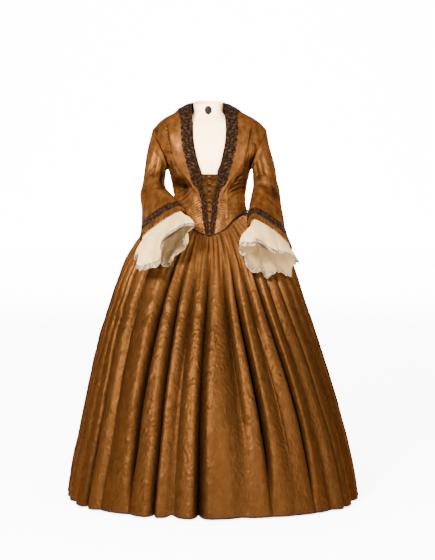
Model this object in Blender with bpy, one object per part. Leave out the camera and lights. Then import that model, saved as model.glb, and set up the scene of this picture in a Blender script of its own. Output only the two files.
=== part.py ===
"""Day dress of about 1850: a pointed bodice, pagoda sleeves and a full gathered skirt.

Metres, +Z up. The wearer faces -Y, so the wearer's left is +X. Heights in the tables are above the
floor that the wearer stands on. The origin is the point between the shoulders that holds the dress up.
"""
import bisect
import math

import bmesh
import bpy
from mathutils import Vector

# Driving sizes
HOLD_HEIGHT = 1.290
FORM_STEP_ANGLE = 0.6
SLEEVE_STEP = 0.03
SEAM_GAP = 0.0003
BODICE_WALL = 0.0020
SILK_WALL = 0.0015
COTTON_WALL = 0.0012
LACE_WALL = 0.0012
OVERLAY_GAP = 0.0009

# Bodice
LEVEL_HEIGHT = 1.050
NECK_HEIGHT = 1.334
SHOULDER_STRIP_HEIGHT = 1.284
CENTRE_TOP_HEIGHT = 1.091
ARMHOLE_MIDDLE = 1.172
ARMHOLE_HALF = 0.063
ARMHOLE_FRONT = 25.0
ARMHOLE_BACK = 28.0
ARMHOLE_GAP = 0.0005
ARMHOLE_STEPS = 10
GATHER_RISE = 0.0012
NARROWEST_END = 0.35

# Skirt
SKIRT_BOTTOM = 0.0115
HEM_BOTTOM = 0.004
FOLD_STEPS = 4
CREST_RISE = 0.35
SKIRT_CORNERS = {"front_left": 0.050, "front_right": 0.030, "back_left": 0.018, "back_right": 0.018}
SKIRT_TOP_GAP = 0.0014
WAIST_GATHER = 0.0024
GATHER_END = 0.17
WIDTH_GAP = 0.0005

# Small pieces
PIPING_RADIUS = 0.0026
PIPING_LIFT = 0.0039
PIPING_GAP = 0.0013
BUTTON_RADIUS = 0.0046
BUTTON_RISE = 0.0036
BROOCH_HALF_WIDTH = 0.012
BROOCH_HALF_HEIGHT = 0.0148
BROOCH_RISE = 0.005
BROOCH_SHARE = 0.12
BROOCH_GAP = 0.0021
LACE_BOTTOM = 0.894
BACK_LACE_WIDTH = 0.030
SCALLOP_PITCH = 0.019
SCALLOP_DEPTH = 0.004
SHOULDER_RISE = 0.0030
FRILL_WAVES = 14
FRILL_WAVE = 0.0016
FRILL_SWELLS = (0.4, 1.0)


class Table:
    """Rows under named columns, read along the first column by a smooth curve with no overshoot."""

    def __init__(self, columns, rows):
        self.names = columns.split()
        self.rows = rows
        self.keys = [row[0] for row in rows]

    def slope(self, values, index):
        """The curve's slope at a row: the harmonic mean of its two neighbouring slopes."""
        if index in (0, len(values) - 1):
            return 0.0 if len(values) < 3 else self.end_slope(values, index)
        before = (values[index] - values[index - 1]) / (self.keys[index] - self.keys[index - 1])
        after = (values[index + 1] - values[index]) / (self.keys[index + 1] - self.keys[index])
        if before * after <= 0:
            return 0.0
        return 2 * before * after / (before + after)

    def end_slope(self, values, index):
        """The slope at the first or last row: that of the line to its neighbour."""
        other = 1 if index == 0 else index - 1
        return (values[other] - values[index]) / (self.keys[other] - self.keys[index])

    def read(self, name, at):
        """The value of a named column at a place along the first column."""
        column = self.names.index(name)
        values = [row[column] for row in self.rows]
        at = min(max(at, self.keys[0]), self.keys[-1])
        index = min(max(bisect.bisect_right(self.keys, at) - 1, 0), len(self.keys) - 2)
        span = self.keys[index + 1] - self.keys[index]
        part = (at - self.keys[index]) / span
        square, cube = part ** 2, part ** 3
        return ((2 * cube - 3 * square + 1) * values[index]
                + (cube - 2 * square + part) * span * self.slope(values, index)
                + (3 * square - 2 * cube) * values[index + 1]
                + (cube - square) * span * self.slope(values, index + 1))


# The body form that the bodice follows: level sections, each a rounded oval.
TORSO = Table("height half_width front back squareness lean", (
    (0.840, 0.170, 0.122, 0.118, 2.1, 0.000),
    (0.884, 0.150, 0.112, 0.107, 2.1, 0.000),
    (0.930, 0.136, 0.102, 0.097, 2.1, 0.000),
    (0.962, 0.1295, 0.096, 0.092, 2.1, 0.000),
    (1.013, 0.1225, 0.090, 0.088, 2.1, 0.000),
    (1.045, 0.127, 0.094, 0.091, 2.1, 0.000),
    (1.075, 0.133, 0.103, 0.096, 2.2, 0.000),
    (1.109, 0.142, 0.115, 0.103, 2.2, 0.000),
    (1.150, 0.166, 0.122, 0.108, 2.3, 0.000),
    (1.185, 0.184, 0.117, 0.110, 2.3, 0.000),
    (1.210, 0.192, 0.108, 0.109, 2.3, 0.000),
    (1.235, 0.196, 0.096, 0.106, 2.3, 0.000),
    (1.260, 0.179, 0.082, 0.100, 2.3, 0.000),
    (1.281, 0.153, 0.071, 0.092, 2.3, -0.002),
    (1.300, 0.119, 0.060, 0.080, 2.2, -0.003),
    (1.322, 0.082, 0.051, 0.066, 2.1, -0.005),
    (1.334, 0.058, 0.047, 0.058, 2.0, -0.005),
))

# The waist seam: lowest at the centre front point, highest at the sides. Angles from the centre front.
WAIST = Table("angle height", (
    (0, 0.884),
    (8, 0.888),
    (20, 0.904),
    (38, 0.938),
    (60, 0.956),
    (90, 0.962),
    (130, 0.958),
    (180, 0.944),
))

# Lines on each half of the front, as distances from the centre.
FRONT = Table("height lace_inner lace_outer seam strip", (
    (0.880, 0.0030, 0.0130, 0.0090, 0.0170),
    (0.905, 0.0065, 0.0175, 0.0125, 0.0215),
    (0.950, 0.0100, 0.0225, 0.0165, 0.0265),
    (0.998, 0.0140, 0.0260, 0.0200, 0.0310),
    (1.035, 0.0170, 0.0360, 0.0260, 0.0500),
    (1.068, 0.0265, 0.0600, 0.0370, 0.0680),
    (1.100, 0.0260, 0.0670, 0.0330, 0.0960),
    (1.125, 0.0350, 0.0760, 0.0370, 0.1120),
    (1.166, 0.0450, 0.0860, 0.0470, 0.1265),
    (1.190, 0.0500, 0.0920, 0.0510, 0.1310),
    (1.240, 0.0545, 0.0960, 0.0555, 0.1400),
    (1.300, 0.0535, 0.0985, 0.0545, 0.1480),
    (1.334, 0.0520, 0.1050, 0.0535, 0.1500),
))

# The curved seam between each side back and the back, by its angle from the centre front.
SIDE_BACK = Table("height angle", (
    (0.930, 161.0),
    (1.013, 158.0),
    (1.080, 150.0),
    (1.130, 138.0),
    (1.172, 119.2),
))

# How far the skirt stands out from the waist seam, by the share of its length from waist to hem.
SPREAD = Table("drop side front back lean", (
    (0.000, 0.000, 0.000, 0.000, 0.000),
    (0.033, 0.047, 0.034, 0.066, 0.000),
    (0.065, 0.084, 0.062, 0.114, -0.001),
    (0.101, 0.114, 0.090, 0.150, -0.002),
    (0.138, 0.137, 0.114, 0.178, -0.003),
    (0.181, 0.157, 0.139, 0.203, -0.005),
    (0.246, 0.180, 0.174, 0.234, -0.006),
    (0.310, 0.199, 0.204, 0.260, -0.006),
    (0.375, 0.219, 0.233, 0.284, -0.005),
    (0.462, 0.244, 0.268, 0.312, -0.003),
    (0.550, 0.267, 0.300, 0.338, 0.000),
    (0.636, 0.287, 0.328, 0.361, 0.003),
    (0.724, 0.308, 0.354, 0.382, 0.006),
    (0.812, 0.327, 0.378, 0.402, 0.008),
    (0.900, 0.344, 0.399, 0.421, 0.008),
    (1.000, 0.358, 0.418, 0.438, 0.008),
))
SKIRT_ROWS = (0.0, 0.03, 0.08, 0.15, 0.25, 0.41, 0.60, 0.80, 1.0)

# The skirt's folds: a row for each valley, by its angle from the centre front towards the wearer's left.
# upper, middle and lower are its depth a quarter down, halfway and at the hem, and lift raises the hem.
# crest is where the ridge stands on the way to the next valley: a small one has its steep side here.
SKIRT_FOLDS = Table("waist hem upper middle lower lift crest", (
    (1, -4, 0.022, 0.050, 0.068, 0.010, 0.40),
    (11, 12, 0.014, 0.018, 0.006, 0.000, 0.50),
    (17, 20, 0.018, 0.034, 0.010, 0.000, 0.50),
    (25, 28, 0.012, 0.008, 0.006, 0.000, 0.55),
    (32, 36, 0.020, 0.038, 0.010, 0.000, 0.45),
    (41, 42, 0.012, 0.010, 0.008, 0.000, 0.75),
    (48, 49, 0.018, 0.036, 0.056, 0.004, 0.55),
    (58, 60, 0.014, 0.016, 0.012, 0.000, 0.50),
    (70, 72, 0.020, 0.040, 0.050, 0.006, 0.35),
    (79, 80, 0.012, 0.014, 0.010, 0.000, 0.50),
    (92, 94, 0.016, 0.030, 0.036, 0.000, 0.60),
    (101, 104, 0.014, 0.014, 0.010, 0.000, 0.50),
    (113, 115, 0.020, 0.042, 0.052, 0.004, 0.40),
    (122, 123, 0.012, 0.018, 0.022, 0.000, 0.55),
    (131, 134, 0.014, 0.016, 0.012, 0.000, 0.50),
    (144, 146, 0.022, 0.040, 0.048, 0.006, 0.65),
    (153, 154, 0.012, 0.014, 0.018, 0.000, 0.50),
    (166, 165, 0.018, 0.034, 0.044, 0.000, 0.40),
    (175, 176, 0.014, 0.016, 0.012, 0.000, 0.50),
    (188, 187, 0.022, 0.042, 0.052, 0.006, 0.55),
    (197, 198, 0.012, 0.018, 0.014, 0.000, 0.50),
    (206, 207, 0.016, 0.030, 0.034, 0.000, 0.40),
    (219, 219, 0.014, 0.016, 0.012, 0.000, 0.60),
    (228, 229, 0.020, 0.040, 0.050, 0.004, 0.50),
    (237, 238, 0.012, 0.014, 0.020, 0.000, 0.50),
    (250, 250, 0.018, 0.032, 0.038, 0.000, 0.45),
    (259, 260, 0.012, 0.016, 0.012, 0.000, 0.55),
    (271, 273, 0.018, 0.034, 0.044, 0.004, 0.50),
    (280, 282, 0.012, 0.012, 0.010, 0.000, 0.50),
    (288, 291, 0.018, 0.030, 0.036, 0.000, 0.55),
    (297, 301, 0.012, 0.020, 0.026, 0.000, 0.40),
    (303, 313, 0.018, 0.040, 0.060, 0.006, 0.40),
    (314, 320, 0.012, 0.014, 0.006, 0.000, 0.45),
    (334, 331, 0.024, 0.038, 0.012, 0.000, 0.50),
    (343, 341, 0.018, 0.036, 0.054, 0.006, 0.45),
    (352, 347, 0.012, 0.014, 0.012, 0.008, 0.50),
))
DEPTH_DROPS = (0.0, 0.25, 0.55, 1.0)

# The skirt's widths, each with the fold whose valley holds its first seam.
SKIRT_PANELS = (
    ("skirt_front_left", 4),
    ("skirt_back_left", 10),
    ("skirt_back", 15),
    ("skirt_back_right", 21),
    ("skirt_front_right", 27),
    ("skirt_front", 33),
)

# Sleeve sections from the armhole to the edge: the outer and the inner point, and how far the section
# stands out to the front and to the back between them.
SLEEVE_COLUMNS = "along outer_x outer_y outer_height inner_x inner_y inner_height front back"
SLEEVES = {
    "left": Table(SLEEVE_COLUMNS, (
        (0.00, 0.197, 0.000, 1.235, 0.143, 0.000, 1.109, 0.052, 0.052),
        (0.12, 0.204, -0.002, 1.194, 0.149, -0.002, 1.101, 0.054, 0.054),
        (0.24, 0.216, -0.008, 1.146, 0.149, -0.012, 1.084, 0.051, 0.056),
        (0.37, 0.228, -0.020, 1.095, 0.147, -0.030, 1.064, 0.046, 0.058),
        (0.50, 0.235, -0.040, 1.048, 0.146, -0.065, 1.046, 0.040, 0.060),
        (0.62, 0.240, -0.070, 1.002, 0.145, -0.110, 1.027, 0.032, 0.062),
        (0.75, 0.246, -0.115, 0.956, 0.143, -0.160, 1.008, 0.024, 0.064),
        (0.87, 0.254, -0.155, 0.906, 0.143, -0.205, 0.986, 0.020, 0.066),
        (1.00, 0.270, -0.190, 0.856, 0.143, -0.240, 0.956, 0.018, 0.066),
    )),
    "right": Table(SLEEVE_COLUMNS, (
        (0.00, 0.197, 0.000, 1.235, 0.143, 0.000, 1.109, 0.052, 0.052),
        (0.12, 0.207, -0.002, 1.197, 0.150, -0.002, 1.098, 0.054, 0.054),
        (0.24, 0.217, -0.008, 1.149, 0.151, -0.012, 1.084, 0.051, 0.056),
        (0.37, 0.223, -0.018, 1.098, 0.152, -0.032, 1.066, 0.046, 0.058),
        (0.50, 0.227, -0.035, 1.049, 0.148, -0.070, 1.050, 0.040, 0.060),
        (0.62, 0.230, -0.065, 1.008, 0.138, -0.125, 1.039, 0.032, 0.062),
        (0.75, 0.228, -0.110, 0.965, 0.122, -0.175, 1.026, 0.024, 0.064),
        (0.87, 0.227, -0.150, 0.924, 0.107, -0.220, 1.008, 0.020, 0.066),
        (1.00, 0.228, -0.185, 0.884, 0.090, -0.260, 0.984, 0.018, 0.066),
    )),
}
SIDES = {"left": 1, "right": -1}
SLEEVE_ROWS = (0.0, 0.09, 0.21, 0.34, 0.47, 0.60, 0.73, 0.885, 0.962, 1.0)
SLEEVE_LENGTH = 0.34
ARMHOLE_BLEND = 0.12
SLEEVE_STEPS = 2 * ARMHOLE_STEPS
LACE_ROWS = (0.885, 0.962)
FRILL_ROWS = (0.972, 1.035)

# The undersleeves' hems: a row for each wave of the edge, by the turn round the arm from its outer line.
UNDERSLEEVE_HEMS = {
    "left": (
        # turn, x, y, height
        (0, 0.292, -0.165, 0.790),
        (30, 0.283, -0.235, 0.822),
        (60, 0.262, -0.290, 0.836),
        (90, 0.232, -0.318, 0.838),
        (115, 0.200, -0.330, 0.846),
        (140, 0.170, -0.320, 0.872),
        (165, 0.132, -0.300, 0.866),
        (190, 0.100, -0.270, 0.838),
        (215, 0.126, -0.248, 0.812),
        (240, 0.148, -0.256, 0.776),
        (265, 0.178, -0.222, 0.764),
        (290, 0.206, -0.224, 0.758),
        (315, 0.240, -0.190, 0.760),
        (340, 0.268, -0.172, 0.764),
    ),
    "right": (
        (0, 0.236, -0.170, 0.812),
        (25, 0.243, -0.225, 0.824),
        (50, 0.226, -0.262, 0.790),
        (75, 0.196, -0.292, 0.784),
        (95, 0.166, -0.316, 0.800),
        (112, 0.158, -0.334, 0.850),
        (130, 0.148, -0.338, 0.888),
        (150, 0.112, -0.334, 0.914),
        (172, 0.070, -0.322, 0.934),
        (195, 0.062, -0.296, 0.916),
        (225, 0.086, -0.268, 0.860),
        (260, 0.124, -0.250, 0.812),
        (295, 0.160, -0.226, 0.788),
        (330, 0.200, -0.196, 0.796),
    ),
}
UNDERSLEEVE_ROWS = ((0.962, 0.0034), (1.05, 0.0060))
UNDERSLEEVE_DROPS = (0.36, 0.70, 1.0)
UNDERSLEEVE_STEPS = 2 * SLEEVE_STEPS
UNDERSLEEVE_BELLY = 0.010

# Chemisette and collar
COLLAR_CENTRE = -0.004
COLLAR_HALF_WIDTH = 0.050
COLLAR_FRONT = 0.053
COLLAR_BACK = 0.050
COLLAR_FOOT = 1.306
COLLAR_TOP_FRONT = 1.328
COLLAR_TOP_BACK = 1.342
CHEMISETTE_BOTTOM = 1.062
CHEMISETTE_MARGIN = 0.016
CHEMISETTE_INSET = 0.0042
CHEMISETTE_BACK_INSET = 0.0080
CHEMISETTE_COLUMNS = 8
CHEMISETTE_BACK_ANGLE = 38
CHEMISETTE_TURN_IN = 1.262
CHEMISETTE_BACK_FOOT = 1.250
BUTTON_HEIGHTS = (1.078, 1.055, 1.035, 0.998, 0.967, 0.930, 0.902)


def mix(first, second, amount):
    """A value or point between two others."""
    return first + (second - first) * amount


def spaced(first, last, steps):
    """Evenly spaced values from first to last, both included."""
    return [mix(first, last, step / steps) for step in range(steps + 1)]


def ease(amount):
    """Turns a straight 0 to 1 into a soft one."""
    amount = min(max(amount, 0.0), 1.0)
    return amount * amount * (3 - 2 * amount)


def signed_power(value, power):
    """A power that keeps the value's sign."""
    return math.copysign(abs(value) ** power, value)


def torso_level(angle, height):
    """The place on the body form's level section, seen from above."""
    power = 2 / TORSO.read("squareness", height)
    turn = math.radians(angle)
    depth = TORSO.read("front" if math.cos(turn) > 0 else "back", height)
    across = TORSO.read("half_width", height) * signed_power(math.sin(turn), power)
    across += TORSO.read("lean", height)
    return Vector((across, -depth * signed_power(math.cos(turn), power), 0.0))


def torso_point(angle, height, out=0.0):
    """A point of the body form, moved out level with the floor."""
    near = FORM_STEP_ANGLE
    place = torso_level(angle, height)
    along = torso_level(angle + near, height) - torso_level(angle - near, height)
    outward = Vector((-along.y, along.x, 0.0)).normalized()
    place -= outward * out
    place.z = height - HOLD_HEIGHT
    return place


def angle_at(height, across):
    """The angle on the front where the body form is this far from the centre."""
    share = min(across / TORSO.read("half_width", height), 1.0)
    return math.degrees(math.asin(share ** (TORSO.read("squareness", height) / 2)))


def waist_height(angle):
    """The height of the waist seam at an angle."""
    turned = abs((angle + 180) % 360 - 180)
    return WAIST.read("height", turned)


def line_row(row, line):
    """The angle where a line of the front crosses a row."""
    height = LEVEL_HEIGHT if row <= 0 else row
    angle = 0.0
    for _ in range(6):
        if row <= 0:
            height = mix(LEVEL_HEIGHT, waist_height(angle), -row)
        angle = angle_at(height, FRONT.read(line, height))
    return angle


def row_height(row, angle):
    """Rows from -1 to 0 run from the waist seam to the level height, and higher rows are heights."""
    if row <= 0:
        return mix(LEVEL_HEIGHT, waist_height(angle), -row)
    return row


def armhole_reach(height, depth):
    """How many degrees the armhole cuts into the front or the back at a height."""
    share = (height - ARMHOLE_MIDDLE) / ARMHOLE_HALF
    if abs(share) >= 1:
        return 0.0
    return depth * math.sqrt(1 - share * share)


def seam_angle():
    """Half a seam gap as an angle on the bodice."""
    return math.degrees(SEAM_GAP / 2 / 0.11)


ARMHOLE_HEIGHTS = [ARMHOLE_MIDDLE - ARMHOLE_HALF * math.cos(math.pi * step / ARMHOLE_STEPS)
                   for step in range(1, ARMHOLE_STEPS + 1)]
LOW_ROWS = spaced(-1.0, 0.0, 10)
MIDDLE_ROWS = [1.065, 1.079, CENTRE_TOP_HEIGHT, 1.100, ARMHOLE_MIDDLE - ARMHOLE_HALF]
SHOULDER_ROWS = [1.252, 1.268, SHOULDER_STRIP_HEIGHT]
NECK_ROWS = [1.296, 1.308, 1.321, NECK_HEIGHT]
SIDE_ROWS = LOW_ROWS + MIDDLE_ROWS + ARMHOLE_HEIGHTS + SHOULDER_ROWS
BACK_LOW_ROWS = LOW_ROWS[::2]


def new_material(name, colour, roughness, metallic=0.0, sheen=0.0):
    """A plain finish for one kind of cloth or metal."""
    finish = bpy.data.materials.new(name)
    finish.use_nodes = True
    shader = finish.node_tree.nodes["Principled BSDF"]
    shader.inputs["Base Color"].default_value = (*colour, 1.0)
    shader.inputs["Roughness"].default_value = roughness
    shader.inputs["Metallic"].default_value = metallic
    shader.inputs["Sheen Weight"].default_value = sheen
    return finish


def add_object(name, points, faces, finish):
    """One closed solid with its faces pointing out."""
    mesh = bpy.data.meshes.new(name)
    mesh.from_pydata([tuple(point) for point in points], [], faces)
    work = bmesh.new()
    work.from_mesh(mesh)
    bmesh.ops.recalc_face_normals(work, faces=work.faces)
    if work.calc_volume(signed=True) < 0:
        bmesh.ops.reverse_faces(work, faces=work.faces)
    work.to_mesh(mesh)
    work.free()
    mesh.shade_smooth()
    mesh.set_sharp_from_angle(angle=math.radians(50))
    mesh.materials.append(finish)
    item = bpy.data.objects.new(name, mesh)
    bpy.context.scene.collection.objects.link(item)
    return item


def cloth_wall(name, outer, inner, finish, closed=False):
    """A cloth wall between two equal grids of points; closed joins its last column to its first."""
    rows, columns = len(outer), len(outer[0])
    points = [point for grid in (outer, inner) for line in grid for point in line]
    layer = rows * columns
    faces = []

    def at(face, row, column):
        return face * layer + row * columns + column % columns

    def strip(a, b, c, d):
        faces.append((a, b, c))
        faces.append((a, c, d))

    for row in range(rows - 1):
        for column in range(columns if closed else columns - 1):
            for face in (0, 1):
                strip(at(face, row, column), at(face, row, column + 1),
                      at(face, row + 1, column + 1), at(face, row + 1, column))
        if not closed:
            for column in (0, columns - 1):
                strip(at(0, row, column), at(0, row + 1, column),
                      at(1, row + 1, column), at(1, row, column))
    for column in range(columns if closed else columns - 1):
        for row in (0, rows - 1):
            strip(at(0, row, column), at(0, row, column + 1),
                  at(1, row, column + 1), at(1, row, column))
    return add_object(name, points, faces, finish)


def inner_grid(outer, wall, closed, towards):
    """The wall's other face: each point moved by the wall along the grid's own normal."""
    rows, columns = len(outer), len(outer[0])
    normals, facing = [], 0.0
    for row in range(rows):
        line = []
        for column in range(columns):
            if closed:
                left, right = outer[row][column - 1], outer[row][(column + 1) % columns]
            else:
                left, right = outer[row][max(column - 1, 0)], outer[row][min(column + 1, columns - 1)]
            below, above = outer[max(row - 1, 0)][column], outer[min(row + 1, rows - 1)][column]
            normal = (right - left).cross(above - below).normalized()
            facing += normal.dot(towards(outer[row][column], row))
            line.append(normal * wall)
        normals.append(line)
    turned = math.copysign(1.0, facing)
    return [[point + normal * turned for point, normal in zip(points, line)]
            for points, line in zip(outer, normals)]


def torso_wall(name, rows, edges, columns, finish, lift=None, out=0.0, wall=BODICE_WALL):
    """A piece that lies on the body form between two edges, given for each row as angles."""
    outer, inner = [], []
    for row in rows:
        first, last = edges(row)
        outer_line, inner_line = [], []
        for step, angle in enumerate(spaced(first, last, columns)):
            height = row_height(row, angle)
            raised = lift(row, step / columns) if lift else 0.0
            outer_line.append(torso_point(angle, height, out + raised))
            inner_line.append(torso_point(angle, height, out - wall))
        outer.append(outer_line)
        inner.append(inner_line)
    return cloth_wall(name, outer, inner, finish)


def build_bodice(silk):
    """The bodice's eight pieces."""
    gap = seam_angle()

    def centre_edges(row):
        seam = line_row(row, "seam") - gap
        return -seam, seam

    centre_rows = LOW_ROWS + MIDDLE_ROWS[:3]
    torso_wall("bodice_centre_front", centre_rows, centre_edges, 2, silk)

    def strip_angle(row):
        if row > SHOULDER_STRIP_HEIGHT:
            return 90.0 - gap
        if row == SHOULDER_STRIP_HEIGHT:
            return 90.0 - NARROWEST_END
        return line_row(row, "strip")

    def gathered(row, share):
        """Gathers as level ridges on the lower front, fading towards the side and the bust."""
        index = SIDE_ROWS.index(row)
        if index % 2 == 0 or index > len(LOW_ROWS) + 3:
            return 0.0
        return GATHER_RISE * (1 - share ** 3)

    for side, sign in SIDES.items():
        def strip_edges(row, sign=sign):
            return sign * (line_row(row, "seam") + gap), sign * (strip_angle(row) - gap)

        def side_edges(row, sign=sign):
            height = row if row > 0 else LEVEL_HEIGHT
            outer = 90.0 - armhole_reach(height, ARMHOLE_FRONT) - gap
            return sign * (strip_angle(row) + gap), sign * outer

        torso_wall("bodice_strip_" + side, SIDE_ROWS + NECK_ROWS, strip_edges, 2, silk)
        torso_wall("bodice_front_" + side, SIDE_ROWS, side_edges, 6, silk, gathered)

        def side_back_edges(row, sign=sign):
            height = row if row > 0 else row_height(row, 150)
            inner = 90.0 + armhole_reach(height, ARMHOLE_BACK) + gap
            return sign * inner, sign * (SIDE_BACK.read("angle", height) - gap)

        low_armhole = ARMHOLE_HEIGHTS[:ARMHOLE_STEPS // 2]
        side_back_rows = BACK_LOW_ROWS + MIDDLE_ROWS[1::3] + MIDDLE_ROWS[-1:] + low_armhole
        side_back_rows = sorted(set(side_back_rows))
        torso_wall("bodice_side_back_" + side, side_back_rows, side_back_edges, 3, silk)

    def back_edges(row):
        height = row if row > 0 else row_height(row, 150)
        edge = 90.0 + armhole_reach(height, ARMHOLE_BACK) + gap
        if height < ARMHOLE_MIDDLE + SEAM_GAP:
            edge = SIDE_BACK.read("angle", height) + gap
        return edge, 360.0 - edge

    back_rows = sorted(set(BACK_LOW_ROWS + MIDDLE_ROWS[1::3] + MIDDLE_ROWS[-1:]
                           + ARMHOLE_HEIGHTS + SHOULDER_ROWS + NECK_ROWS))
    torso_wall("bodice_back", back_rows, back_edges, 8, silk)


def build_piping(finish):
    """A covered cord round the waist seam."""
    steps, sides = 52, 4
    points, faces = [], []
    for step in range(steps):
        angle = 360 * step / steps
        height = waist_height(angle) + PIPING_LIFT
        for side in range(sides):
            turn = 2 * math.pi * side / sides
            out = PIPING_RADIUS * (1 + math.cos(turn)) + PIPING_GAP
            points.append(torso_point(angle, height + PIPING_RADIUS * math.sin(turn), out))
    for step in range(steps):
        for side in range(sides):
            after, beside = (step + 1) % steps, (side + 1) % sides
            faces.append((step * sides + side, after * sides + side,
                          after * sides + beside, step * sides + beside))
    add_object("waist_piping", points, faces, finish)


def skirt_base(angle, drop):
    """The skirt's form without its folds, and the way that it faces."""
    turn = math.radians(angle)
    forward = math.cos(turn) ** 2
    end_name = "front" if math.cos(turn) > 0 else "back"
    side_name = "left" if math.sin(turn) > 0 else "right"
    corner = SKIRT_CORNERS[end_name + "_" + side_name] * drop * math.sin(2 * turn) ** 2
    spread = mix(SPREAD.read("side", drop), SPREAD.read(end_name, drop), forward) + corner
    top = waist_height(angle)
    outward = Vector((math.sin(turn), -math.cos(turn), 0.0))
    place = torso_point(angle, top) + outward * spread
    place.x += SPREAD.read("lean", drop)
    place.z = mix(top - SKIRT_TOP_GAP, SKIRT_BOTTOM, drop) - HOLD_HEIGHT
    return place, outward


def fold_value(index, name):
    """A value of the fold table, which runs round the skirt."""
    rows = SKIRT_FOLDS.rows
    return rows[index % len(rows)][SKIRT_FOLDS.names.index(name)]


def fold_depth(index, drop):
    """A valley's depth at a share of the skirt's length."""
    depths = [0.0] + [fold_value(index, name) for name in ("upper", "middle", "lower")]
    return Table("drop depth", tuple(zip(DEPTH_DROPS, depths))).read("depth", drop)


def fold_angle(index, drop):
    """A valley's angle at a share of the skirt's length."""
    waist, hem = fold_value(index, "waist"), fold_value(index, "hem")
    return waist + (unwrapped(waist, hem) - waist) * ease(drop / 0.8)


def skirt_point(index, step, drop):
    """A point of the folded skirt; four steps lead from one valley over its ridge to the next."""
    crest = fold_value(index, "crest")
    share = (0.0, crest / 2, crest, (1 + crest) / 2)[step]
    start = fold_angle(index, drop)
    angle = mix(start, unwrapped(start + 10, fold_angle(index + 1, drop)), share)
    place, outward = skirt_base(angle, drop)
    depth = mix(fold_depth(index, drop), fold_depth(index + 1, drop), share)
    side = share / crest if share < crest else (1 - share) / (1 - crest)
    ridge = math.sin(math.pi / 2 * side) ** 0.8
    gather = WAIST_GATHER * (1 - ease(drop / GATHER_END)) * (-1 if step % 2 == 0 else 1)
    place += outward * (depth * ((1 + CREST_RISE) * ridge - 1) + gather)
    lift = mix(fold_value(index, "lift"), fold_value(index + 1, "lift"), share)
    place.z += lift * (1 - ridge) * ease(drop * 2 - 1)
    return place


def unwrapped(reference, angle):
    """The same angle, within half a turn of the reference."""
    return reference + (angle - reference + 180) % 360 - 180


def skirt_grids():
    """The whole skirt's outer and inner faces, a closed round of columns."""
    columns = [(index, step) for index in range(len(SKIRT_FOLDS.rows)) for step in range(FOLD_STEPS)]
    outer = [[skirt_point(index, step, drop) for index, step in columns] for drop in SKIRT_ROWS]

    def inward(point, _row):
        return Vector((-point.x, -point.y, -0.1))

    return outer, inner_grid(outer, SILK_WALL, True, inward)


def step_towards(point, other, distance):
    """The point, moved a set distance towards another."""
    return point + (other - point).normalized() * distance


def build_skirt(silk, braid):
    """Six gathered widths, sewn together in the folds' valleys, and the binding of their hem."""
    outer, inner = skirt_grids()
    columns = len(outer[0])
    starts = [first * FOLD_STEPS for _name, first in SKIRT_PANELS]
    for (name, _first), start, end in zip(SKIRT_PANELS, starts, starts[1:] + [starts[0] + columns]):
        picked = [column % columns for column in range(start, end + 1)]
        grids = []
        for grid in (outer, inner):
            lines = []
            for row in grid:
                line = [row[column].copy() for column in picked]
                line[0] = step_towards(line[0], line[1], WIDTH_GAP / 2)
                line[-1] = step_towards(line[-1], line[-2], WIDTH_GAP / 2)
                lines.append(line)
            grids.append(lines)
        cloth_wall(name, grids[0], grids[1], silk)
    hem_faces = []
    for grid in (outer, inner):
        hem_faces.append([[Vector((place.x, place.y, min(edge.z, other.z) - drop))
                           for place, edge, other in zip(grid[-1], outer[-1], inner[-1])]
                          for drop in (SEAM_GAP, SKIRT_BOTTOM - HEM_BOTTOM)])
    cloth_wall("hem_binding", hem_faces[0], hem_faces[1], braid, closed=True)


def armhole_point(sign, turn, inset):
    """A point inside the armhole; turn 0 is the shoulder, 90 degrees the front, 180 the underarm."""
    around = math.radians(turn)
    height = ARMHOLE_MIDDLE + (ARMHOLE_HALF - inset) * math.cos(around)
    depth = ARMHOLE_FRONT if math.sin(around) > 0 else ARMHOLE_BACK
    less = math.degrees(inset / TORSO.read("half_width", ARMHOLE_MIDDLE))
    return torso_point(sign * (90.0 - (depth - less) * math.sin(around)), height)


def sleeve_section(side, along):
    """A sleeve section's centre, its vector to the outer point and the way to its front."""
    table, sign = SLEEVES[side], SIDES[side]

    def point(which, place):
        return Vector((sign * table.read(which + "_x", place), table.read(which + "_y", place),
                       table.read(which + "_height", place) - HOLD_HEIGHT))

    def middle(place):
        return (point("outer", place) + point("inner", place)) / 2

    inside = min(along, 1.0)
    near = SLEEVE_STEP
    path = middle(min(inside + near, 1.0)) - middle(max(inside - near, 0.0))
    outward = (point("outer", inside) - point("inner", inside)) / 2
    across = path.cross(outward).normalized()
    if across.y > 0 and along < 0.5 or across.z < 0 and along >= 0.5:
        across.negate()
    centre = middle(inside)
    if along > 1:
        centre += path.normalized() * (along - 1) * SLEEVE_LENGTH
    return centre, outward, across


def sleeve_point(side, turn, along, out=0.0):
    """A point of the sleeve, by the turn round the arm from its outer line."""
    around = math.radians(turn)
    centre, outward, across = sleeve_section(side, along)
    depth = SLEEVES[side].read("front" if math.sin(around) > 0 else "back", min(along, 1.0))
    reach = (outward.length + out) * math.cos(around)
    place = centre + outward.normalized() * reach + across * (depth + out) * math.sin(around)
    if along < ARMHOLE_BLEND:
        edge = armhole_point(SIDES[side], turn, ARMHOLE_GAP)
        place = mix(edge, place, ease(along / ARMHOLE_BLEND))
    return place


def turns(steps):
    """Turns round the arm, one for each column."""
    return [360 * step / steps for step in range(steps)]


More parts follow.
